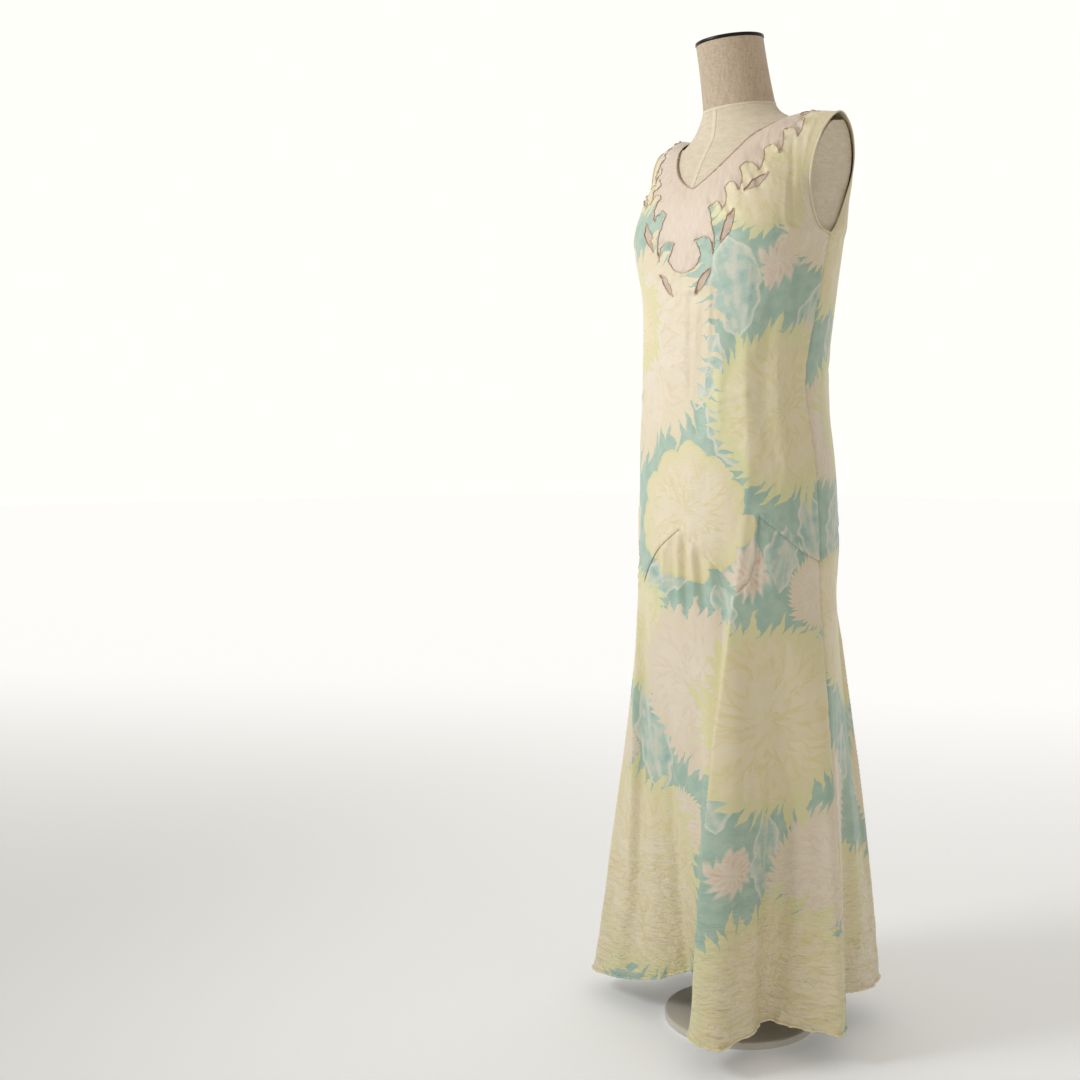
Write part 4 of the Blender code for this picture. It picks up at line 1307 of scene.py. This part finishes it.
def leaves(nodes, warp, below, mottle):
    (x, y, tone, blossom), _ = nodes.attribute("leaf")
    x, y = x + warp[0] * 1.3, y + warp[1] * 1.3
    teeth = abs(nodes.math("FRACT", x * 2.1 + abs(y) * 1.1 + tone * 3.0) * 2.0 - 1.0).to(0.0, 1.0)
    fullness = nodes.math("MAXIMUM", 1.0 - x * x, 0.0)
    margin = nodes.math("POWER", fullness, 0.9) * (0.41 + teeth * 0.09) - abs(y) - x * x * 0.04
    margin = margin * (1.0 - blossom) - blossom
    fill = nodes.mix(mottle.to(0.46, 0.66), "A6BFB3", "BDC6B5")
    fill = nodes.mix(mottle.to(0.32, 0.44, 1.0, 0.0) * 0.8, fill, "8FB0A5")
    bands = abs(nodes.math("FRACT", abs(y) * 4.6 - x * 0.9 + tone) * 2.0 - 1.0)
    brush = bands.to(0.45, 0.9) * mottle.to(0.40, 0.58) * margin.to(0.02, 0.12)
    fill = nodes.mix(brush * 0.7, fill, "CCCDBD")
    rim = margin.band(-0.01, 0.025, 0.03, 0.13)
    rib = abs(y + x * x * 0.12).to(0.01, 0.10, 1.0, 0.0) * margin.to(0.0, 0.2)
    fill = nodes.mix(rim * 0.85 + rib * 0.5, fill, "D5D2C3")
    colour = nodes.mix(margin.to(-0.012, 0.012), below, fill)
    rho = nodes.math("SQRT", x * x + y * y * 2.0)
    around = nodes.math("ARCTAN2", y * 1.4, x) / (2 * math.pi)
    margin, own, across = ring_margin(nodes, rho, around, Ring(13, 0.98, 0.26, 1.2, 0.36), 2.2)
    petal = nodes.mix(own, "D6C8B5", "DBD0BD")
    streaks = across.to(0.0, 0.9, 1.0, 0.0) * rho.band(0.05, 0.3, 0.3, 0.70)
    petal = nodes.mix(streaks * mottle.to(0.36, 0.60) * 0.65, petal, "CFA78A")
    return nodes.mix(margin.to(-0.12, 0.12) * blossom, colour, petal)


def crepe(nodes, place_vector, crinkle):
    """The silk's fine cross grain, with small crinkles where the cloth is slack."""
    grain = nodes.noise(nodes.scaled(place_vector, (0.16, 1.0, 1.0)), 1700, 3.0, 0.6)
    slack = nodes.noise(nodes.scaled(place_vector, (0.60, 1.4, 1.0)), 90, 3.0, 0.50, 2.2)
    return nodes.bump(slack * crinkle, 0.0034, nodes.bump(grain, 0.00025)), grain


def print_silk():
    nodes = Nodes("print_silk")
    (_, level, _, _), place_vector = nodes.attribute("cloth_place")
    warp = []
    for size in ((1, 1, 1), (1.3, 0.8, 1)):
        wide = nodes.noise(nodes.scaled(place_vector, size), 17, 1.0) - 0.5
        small = nodes.noise(nodes.scaled(place_vector, size), 85, 1.0) - 0.5
        warp.append(wide * 0.26 + small * 0.05)
    mottle = nodes.noise(place_vector, 48, 2.0, 0.45)
    patches = [nodes.noise(nodes.scaled(place_vector, size), 26, 1.0).to(0.40, 0.58)
               for size in ((1, 1.2, 1), (1.2, 0.9, 1))]
    ground = nodes.mix(mottle.to(0.35, 0.65), "96B3A4", "A6BCAB")
    colour = leaves(nodes, warp, ground, mottle)
    for name in PRINT_LAYERS[:3]:
        colour = bloom(nodes, name, warp, patches, colour)
    crinkle = level.to(0.04, 0.45, 1.0, 0.14)
    normal, grain = crepe(nodes, place_vector, crinkle)
    colour = nodes.mix(grain.to(0.3, 0.7) * 0.10, colour, "E9E2D2")
    return nodes.finish(colour, 0.46, normal, Sheen_Weight=0.12, Sheen_Roughness=0.4)


def sheer_silk():
    nodes = Nodes("sheer_silk")
    (_, _, net, _), place_vector = nodes.attribute("cloth_place")
    threads = nodes.noise(nodes.scaled(place_vector, (3.0, 0.25, 1.0)), 260, 2.0)
    weave = nodes.noise(place_vector, 1400, 2.0)
    colour = nodes.mix(threads.to(0.35, 0.65), "DFCDBA", "E7D8C7")
    holes = nodes.noise(place_vector, 900, 1.0)
    colour = nodes.mix(net, colour, nodes.mix(holes.to(0.4, 0.6), "C9B39E", "D9C7B3"))
    normal = nodes.bump(threads, 0.0005, nodes.bump(weave, 0.0002))
    return nodes.finish(colour, 0.5, normal, Alpha=0.88, Sheen_Weight=0.15)


def plain_silk(name, low, high):
    nodes = Nodes(name)
    where = nodes.where()
    wide = nodes.noise(where, 30, 2.0)
    grain = nodes.noise(where, 1500, 2.0)
    colour = nodes.mix(wide.to(0.35, 0.65), low, high)
    return nodes.finish(colour, 0.46, nodes.bump(grain, 0.0002), Sheen_Weight=0.12)


def thread(name, low, high, roughness=0.45):
    nodes = Nodes(name)
    where = nodes.where()
    fibre = nodes.noise(where, 1800, 2.0)
    wide = nodes.noise(where, 60, 1.0)
    colour = nodes.mix(fibre * 0.6 + wide * 0.4, low, high)
    return nodes.finish(colour, roughness, nodes.bump(fibre, 0.0002), Sheen_Weight=0.3)


def linen(name, low, high, slub=(0.3, 0.3, 1.0)):
    nodes = Nodes(name)
    where = nodes.where()
    up = nodes.noise(nodes.scaled(where, (1.0, 1.0, 0.08)), 1300, 2.0)
    over = nodes.noise(nodes.scaled(where, (0.10, 0.10, 1.0)), 1300, 2.0)
    slubs = nodes.noise(nodes.scaled(where, slub), 210, 2.0)
    wide = nodes.noise(where, 9, 2.0)
    share = up * 0.35 + over * 0.35 + slubs * 0.30
    colour = nodes.mix(share.to(0.35, 0.65), low, high)
    colour = nodes.mix(wide.to(0.3, 0.7) * 0.25, colour, nodes.mix(0.3, colour, low))
    return nodes.finish(colour, 0.85, nodes.bump(up + over, 0.0004), Sheen_Weight=0.15)


def smooth_finish(name, low, high, roughness, **settings):
    nodes = Nodes(name)
    where = nodes.where()
    streak = nodes.noise(nodes.scaled(where, (1.0, 4.0, 4.0)), 60, 3.0)
    fine = nodes.noise(where, 700, 2.0)
    colour = nodes.mix(streak, low, high)
    shine = fine.to(0.2, 0.8, roughness * 0.85, roughness * 1.15)
    return nodes.finish(colour, shine, nodes.bump(fine, 0.00005), **settings)


SILK = print_silk()
SHEER = sheer_silk()
CORD = thread("cord", "C7AA95", "E8D4C2")
BIND_SHEER = thread("sheer_binding", "A98A76", "CDB19B", 0.5)
BIND_SILK = plain_silk("binding_silk", "CFC4A2", "DDD2B6")
LINEN = linen("linen", "CBBDA5", "DFD3BD")
# The neck's linen is coloured darker than the torso's: painted shade on the neck.
SHADED_NECK_LINEN = linen("neck_linen", "B19D86", "D0BDA6", (1.6, 1.6, 0.25))
TAPE = linen("seam_tape", "D6C9B2", "E4D9C4")
CAP = smooth_finish("cap_wood", "0B0402", "1C0F09", 0.36, Specular_IOR_Level=0.30)
ENAMEL = smooth_finish("enamel", "C4BFB4", "CDC8BE", 0.55)

# The dress

CLOTHS = {"print_silk": SILK, "sheer_silk": SHEER}
FINE_MESH = 0.0036
SKIRT_PRINT_SHIFT = (0.004, -0.006)
NET_MARGIN = 0.0035


def cloth_piece(name, node, loops, back, lift, spacing, slot, hem=None):
    """A dense sheet of cloth that stands for a solid."""
    turn, level, faces = flat_mesh(loops, spacing)
    points = place(turn, level, back, lift(turn, level, back))
    if hem is not None:
        points, faces = joined([(points, faces), hem[:2]])
        turn, level = np.concatenate([turn, hem[2]]), np.concatenate([level, hem[3]])
    piece = part_mesh(name, node, points, faces, CLOTHS[slot], slot)
    return piece, turn, level


leaf_line = whole_leaf_edge()
openings = [leaf_outline(leaf, side) for leaf in LEAVES for side in (1, -1)]
CORD_LINES += [scaled(leaf_line), *[scaled(np.vstack([loop, loop[:1]])) for loop in openings]]


def bodice_outline(back, neck):
    """A bodice piece's edge: the hip seam, one side and armhole, the neck, and the other side."""
    seam = seam_line(back)
    first, last = seam[0, 0], seam[-1, 0]
    sides = [(last, UNDERARM), (last, SHOULDER)], [(first, SHOULDER), (first, UNDERARM)]
    return np.vstack([seam, sides[0], neck, sides[1]])


BODICE_LOOPS = [bodice_outline(False, leaf_line), *openings]
piece, turn, level = cloth_piece(
    "front_bodice_cloth", "dress_front_bodice", BODICE_LOOPS, False, bodice_lift, FINE_MESH,
    "print_silk",
)
add_print(piece, turn, level, False)

piece, turn, level = cloth_piece(
    "back_bodice_cloth", "dress_back_bodice", [bodice_outline(True, neckline(True)[::-1])], True,
    bodice_lift, 0.0048, "print_silk",
)
add_print(piece, turn, level, True)

HEM_POINTS = 241
HEM_STEPS = 620
HEM_SIDES = 8
HEM_RADIUS = 0.0020


def hem_roll(first, last, back):
    """The rolled hem: a thin uneven roll along the skirt's lower edge."""
    turn = np.linspace(first, last, HEM_STEPS)
    level = hem_height(turn)
    path = place(turn, level, back, skirt_lift(turn, level, back))
    normal = outward(turn, level, back)
    side = np.cross(normal, heading(path))
    radii = HEM_RADIUS + 0.0006 * waves(turn * 0.9, turn * 0, 51)
    points, faces = tube(path + side * 0.0006, side, normal, radii, HEM_SIDES)
    return points, faces, np.repeat(turn, HEM_SIDES), np.repeat(level, HEM_SIDES)


for name, node, bodice, first, last, is_back, spacing in (
    ("front_skirt_cloth", "dress_front_skirt", "front_bodice_cloth", -90, 90, False, 0.0034),
    ("back_skirt_cloth", "dress_back_skirt", "back_bodice_cloth", 90, 270, True, 0.0042),
):
    turns = np.linspace(last, first, HEM_POINTS)
    upper_edge = seam_line(is_back) + (0.0, SEAM_ALLOWANCE)
    outline = np.vstack([upper_edge, np.stack([turns, hem_height(turns)], -1)])
    piece, turn, level = cloth_piece(
        name, node, [outline], is_back, skirt_lift, spacing,
        "print_silk", hem_roll(first, last, is_back),
    )
    add_print(piece, turn, level, is_back, SKIRT_PRINT_SHIFT)

bib = [
    (BIB_END_TURN, SHOULDER), (78.0, 1.300), (68.0, 1.258),
    (52.0, 1.190), (34.0, 1.115), (16.0, 1.062),
]
outline = np.vstack([bib[::-1], neckline(False), [(-t, l) for t, l in bib], [(0.0, BIB_LEVEL)]])
piece, turn, level = cloth_piece(
    "yoke_cloth", "dress_yoke", [outline], False, yoke_lift, FINE_MESH,
    "sheer_silk",
)
spots = spots_of(turn, level)
loops = [scaled(opening) for opening in openings]
net = np.where(inside(spots, loops) | (distance_to(spots, loops) < NET_MARGIN), 1.0, 0.0)
set_attribute(piece, "cloth_place", np.stack([turn * DEGREE, level, net], -1))

# Cords, bindings and the placket

CORD_STEP = 0.0009
CORD_TWIST = 0.0034
CORD_INSET = 0.0002
STRAND_OFFSET = 0.00046
STRAND_RADIUS = 0.00056
CORD_LIFT = 0.0006


def cord_piece(name, node, outline, closed):
    """A cord of two twisted strands sewn along an outline."""
    line = resampled(outline, CORD_STEP, closed)
    turn, level = line[:, 0], line[:, 1]
    path = place(turn, level, False, bodice_lift(turn, level, False) + CORD_LIFT)
    normal = outward(turn, level, False)
    side = np.cross(normal, heading(path, closed))
    length = np.concatenate([[0], np.cumsum(np.linalg.norm(np.diff(path, axis=0), axis=1))])
    twists = round((length[-1] + (length[1] if closed else 0)) / CORD_TWIST)
    angle = 2 * np.pi * twists * np.arange(len(path)) / len(path)
    strands = []
    for start in (0, np.pi):
        c, s = np.cos(angle + start)[:, None], np.sin(angle + start)[:, None]
        centre = path + (side * c * 1.2 + normal * s * 0.8) * STRAND_OFFSET
        strands.append(tube(centre, side, normal, np.full(len(path), STRAND_RADIUS), 6, closed))
    part_mesh(name, node, *joined(strands), CORD, "cord")


cord_piece("leaf_edge_cord", "yoke_cord", moved(leaf_line, -CORD_INSET), False)
for leaf in LEAVES:
    for label, side in (("left", 1), ("right", -1)):
        ring = moved(leaf_outline(leaf, side), CORD_INSET, True)
        cord_piece(f"leaf_{leaf[0]}_{label}_cord", f"leaf_cord_{leaf[0]}_{label}", ring, True)


def rounded_band(name, node, path, side, normal, width, height, material, slot, closed, seed):
    """A soft folded band whose edge lies on the path and whose width goes along side."""
    across = np.array((0.0, 0.06, 0.3, 0.6, 0.88, 1.0, 0.95, 0.5, 0.06))
    rise = np.array((0.15, 0.7, 1.0, 0.95, 0.75, 0.25, -0.15, -0.3, -0.25))
    sizes = 1 + 0.14 * waves(np.arange(len(path)) * 0.33, np.zeros(len(path)), seed)[:, None]
    points = (
        path[:, None]
        + side[:, None] * (across * width)[None, :, None]
        + normal[:, None] * ((rise * height)[None] * sizes)[..., None]
    )
    faces = skin(len(path), len(across), closed)
    part_mesh(name, node, points.reshape(-1, 3), faces, material, slot)


ARMHOLE_STEPS = 130
for label, side_sign, seed in (("left", 1, 61), ("right", -1, 62)):
    step = (np.arange(2 * ARMHOLE_STEPS) + 0.5) / ARMHOLE_STEPS
    front, rear = (step <= 1)[:, None], step > 1
    level = UNDERARM + ARMHOLE_RISE * np.where(rear, 2 - step, step)
    path = np.where(front, cloth(90.0, level, False), cloth(90.0, level, True))
    normal = np.where(front, outward(90.0, level, False), outward(90.0, level, True))
    path -= normal * (rear * armhole_dip(90.0, level))[:, None]
    path[:, 0] *= side_sign
    normal[:, 0] *= side_sign
    side = unit(np.cross(normal, heading(path, True)) * side_sign)
    rounded_band(
        f"armhole_{label}_band", f"armhole_binding_{label}", path - side * 0.0006, side, normal,
        0.0036, 0.0013, BIND_SILK, "print_silk", True, seed,
    )

for name, node, is_back, material, slot in (
    ("neck_front_band", "neck_binding_front", False, BIND_SHEER, "sheer_silk"),
    ("neck_back_band", "neck_binding_back", True, BIND_SILK, "print_silk"),
):
    line = resampled(neckline(is_back), 0.0022)
    turn, level = line[:, 0], line[:, 1]
    path = place(turn, level, is_back, (bodice_lift if is_back else yoke_lift)(turn, level, is_back))
    normal = outward(turn, level, is_back)
    side = unit(np.cross(normal, heading(path)) * (-1 if is_back else 1))
    rounded_band(name, node, path, side, normal, 0.0026, 0.0010, material, slot, False, 63)

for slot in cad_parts["side_placket"].material_slots:
    slot.material = BIND_SILK

# The form

HALF_RING = 64
HALF_TURNS = np.linspace(-90, 90, HALF_RING)


def form_level_ring(height):
    side, front, rear = curve(FORM_LEVELS, height)
    turn = np.radians(HALF_TURNS)
    near = np.stack([side * np.sin(turn), -front * np.cos(turn), turn * 0 + height], -1)
    far = np.stack([-side * np.sin(turn), rear * np.cos(turn), turn * 0 + height], -1)
    return np.vstack([near, far[1:-1]])


def form_shoulder_ring(step):
    rise = FORM_PLATE_RISE * (step / FORM_SHOULDER_STEP) ** 2 * (HALF_TURNS / 90) ** 2
    level = UNDERARM + ARMHOLE_RISE * (step + rise)
    rings = []
    for is_back in (False, True):
        own = HALF_TURNS + 180 if is_back else HALF_TURNS
        rings.append(cloth(own, level, is_back) - outward(own, level, is_back) * FORM_CLEARANCE)
    return np.vstack([rings[0], rings[1][1:-1]])


def round_ring(centre, radius, tilt=0.0):
    turn = np.radians(HALF_TURNS)
    x, y = radius * np.sin(turn), -radius * np.cos(turn)
    x, y = np.concatenate([x, -x[1:-1]]), np.concatenate([y, -y[1:-1]])
    return np.stack([x, y * math.cos(tilt), y * math.sin(tilt)], -1) + centre


def turned(profile):
    """The rings of an upright round piece, from its radii and heights."""
    return [round_ring(np.array((0, 0, height)), radius) for radius, height in profile]


def form_piece(name, node, rings, material, slot):
    faces = skin(len(rings), len(rings[0]))
    piece = part_mesh(name, node, np.vstack(rings), faces, material, slot)
    piece.data.set_sharp_from_angle(angle=math.radians(35))


rings = [form_level_ring(h) for h in (0.7005, 0.703, *np.arange(0.71, 1.10, 0.02))]
rings[0] = rings[0] * (0.975, 0.975, 1)
rings += [form_shoulder_ring(s) for s in np.linspace(0.0, 0.66, 16)]
shoulder = form_shoulder_ring(FORM_SHOULDER_STEP)
neck = round_ring(NECK_BASE_CENTRE, NECK_BASE_RADIUS, NECK_TILT)
for share in np.linspace(0, 1, 18):
    ring = shoulder + (neck - shoulder) * share
    ring[:, 2] = shoulder[:, 2] + (neck - shoulder)[:, 2] * share**NECK_FLARE
    rings.append(ring)
# Where the chest turns up into the neck, the front is drawn into one soft curve.
CHEST_FIRST = 30
CHEST_LAST = 50
CHEST_TURN = 34
CHEST_PASSES = 30
rings = np.array(rings)
share = np.zeros(rings.shape[1])
share[:HALF_RING] = np.exp(-((HALF_TURNS / CHEST_TURN) ** 4))
chest = slice(CHEST_FIRST, CHEST_LAST)
for _ in range(CHEST_PASSES):
    above, below = rings[CHEST_FIRST + 1 : CHEST_LAST + 1], rings[CHEST_FIRST - 1 : CHEST_LAST - 1]
    rings[chest] += 0.25 * share[:, None] * (above - 2 * rings[chest] + below)
form_piece("torso_linen", "form_torso", rings, LINEN, "linen")


def tape(name, path, side, normal, width):
    """A flat seam tape on the form."""
    across = np.array((-0.5, -0.40, 0.40, 0.5, 0.3, -0.3))[None, :, None] * width
    rise = np.array((0.0, 0.0004, 0.0004, 0.0, -0.0004, -0.0004))[None, :, None]
    points = path[:, None] + side[:, None] * across + normal[:, None] * rise
    part_mesh(name, None, points.reshape(-1, 3), skin(len(path), 6), TAPE, "linen")


FIRST_TAPE_RING = 8
column = rings[FIRST_TAPE_RING:, HALF_RING // 2 - 1 : HALF_RING // 2 + 1].mean(1)
column = column[np.concatenate([[True], np.linalg.norm(np.diff(column, axis=0), axis=1) > 1e-4])]
side = np.tile((1.0, 0.0, 0.0), (len(column), 1))
normal = unit(np.cross(side, np.gradient(column, axis=0)))
tape("centre_tape", column, side, normal, 0.0078)
ring = round_ring(NECK_BASE_CENTRE, NECK_BASE_RADIUS + 0.0004, NECK_TILT)
ring = np.vstack([ring, ring[:2]])
up = np.array((0, -math.sin(NECK_TILT), math.cos(NECK_TILT)))
tape("neck_tape", ring, np.tile(up, (len(ring), 1)), unit(ring - NECK_BASE_CENTRE), 0.0045)

rings = []
for share in np.linspace(0, 1, 10):
    centre = NECK_BASE_CENTRE + (NECK_TOP_CENTRE - NECK_BASE_CENTRE) * share
    radius = NECK_TOP_RADIUS + (NECK_BASE_RADIUS - NECK_TOP_RADIUS) * (1 - share) ** 2
    rings.append(round_ring(centre + up * 0.0003, radius, NECK_TILT))
form_piece("neck_linen", "form_neck", rings, SHADED_NECK_LINEN, "neck_linen")
rings = [
    round_ring(NECK_TOP_CENTRE + up * (0.0006 + rise), CAP_RADIUS + out, NECK_TILT)
    for out, rise in (
        (-0.0012, 0.0), (-0.0003, 0.0004), (0.0, 0.0012), (0.0, 0.0036), (-0.0004, 0.0045),
        (-0.0014, 0.0050), (-0.012, 0.0062), (-0.030, 0.0078), (-0.044, 0.0085), (-0.0495, 0.0086),
    )
]
form_piece("neck_cap_wood", "form_neck_cap", rings, CAP, "cap")
rings = turned(((0.0125, 0.0123), (0.0125, 0.693), (0.0123, 0.6945), (0.0118, 0.6997)))
form_piece("pole_metal", "form_pole", rings, ENAMEL, "enamel")
rings = turned((
    (0.1085, 0.0), (0.1096, 0.0006), (0.1100, 0.0020), (0.1100, 0.0085), (0.1096, 0.0098),
    (0.1085, 0.0106), (0.1060, 0.0111), (0.030, 0.0119), (0.0127, 0.0120),
))
form_piece("foot_metal", "form_base", rings, ENAMEL, "enamel")

# Floor, light and camera

AZIMUTH = math.radians(42)
YAW = math.radians(8.5)
DISTANCE = 2.0
EYE_LEVEL = 0.84
SENSOR = 36
LENS = 44.366667
HORIZON_SHIFT = -0.0815
ROOM_LIGHT = 0.570
BACKDROP_LIGHT = 0.49
KEY_POWER = 5.6
AWAY = (-math.sin(AZIMUTH), math.cos(AZIMUTH), 0.0)

bpy.ops.mesh.primitive_plane_add(size=40, location=(0, 0, 0))
floor = bpy.context.object
floor.name = "floor"
paper = Nodes("floor")
floor.data.materials.append(paper.finish("ECEEF1", 0.9, Emission_Color=(0.98, 0.99, 1.0, 1.0)))


def toward_backdrop(tree, places, near, far, low, high):
    """A number that rises smoothly the farther a place or direction is toward the backdrop."""
    ahead = tree.nodes.new("ShaderNodeVectorMath")
    ahead.operation = "DOT_PRODUCT"
    ahead.inputs[1].default_value = AWAY
    tree.links.new(tree.nodes.new("ShaderNodeTexCoord").outputs[places], ahead.inputs[0])
    return smooth_step(tree, ahead.outputs["Value"], near, far, low, high)


glow = toward_backdrop(paper.tree, "Object", 0.0, 3.0, 0.12, 0.45)
paper.tree.links.new(glow, paper.shader.inputs["Emission Strength"])

# A plain studio: pale all round, and brightest beyond the dress where its backdrop hangs.
world = bpy.data.worlds.new("studio")
bpy.context.scene.world = world
world.use_nodes = True
room = world.node_tree.nodes["Background"]
room.inputs[0].default_value = (1.0, 0.935, 0.83, 1.0)
room.inputs[1].default_value = ROOM_LIGHT
backdrop = world.node_tree.nodes.new("ShaderNodeBackground")
backdrop.inputs[0].default_value = (0.90, 0.96, 1.0, 1.0)
far = toward_backdrop(world.node_tree, "Generated", 0.35, 0.85, 0.0, BACKDROP_LIGHT)
world.node_tree.links.new(far, backdrop.inputs[1])
both = world.node_tree.nodes.new("ShaderNodeAddShader")
world.node_tree.links.new(room.outputs[0], both.inputs[0])
world.node_tree.links.new(backdrop.outputs[0], both.inputs[1])
world.node_tree.links.new(both.outputs[0], world.node_tree.nodes["World Output"].inputs[0])

light = bpy.data.lights.new("key", "AREA")
light.shape = "DISK"
light.size = 0.8
light.energy = KEY_POWER
light.color = (0.93, 0.97, 1.0)
light.spread = math.radians(76)
lamp = bpy.data.objects.new("key", light)
bpy.context.scene.collection.objects.link(lamp)
lamp.location = (-0.80, -1.90, 1.80)
toward_dress = Vector((0, 0, 0.92)) - lamp.location
lamp.rotation_euler = toward_dress.to_track_quat("-Z", "Y").to_euler()

camera_data = bpy.data.cameras.new("camera")
camera_data.sensor_width = SENSOR
camera_data.lens = LENS
camera_data.shift_y = HORIZON_SHIFT
camera = bpy.data.objects.new("camera", camera_data)
bpy.context.scene.collection.objects.link(camera)
camera.location = (DISTANCE * math.sin(AZIMUTH), -DISTANCE * math.cos(AZIMUTH), EYE_LEVEL)
forward = Vector((-math.sin(AZIMUTH + YAW), math.cos(AZIMUTH + YAW), 0))
camera.rotation_euler = forward.to_track_quat("-Z", "Y").to_euler()
bpy.context.scene.camera = camera
bpy.context.scene.view_settings.view_transform = "Standard"
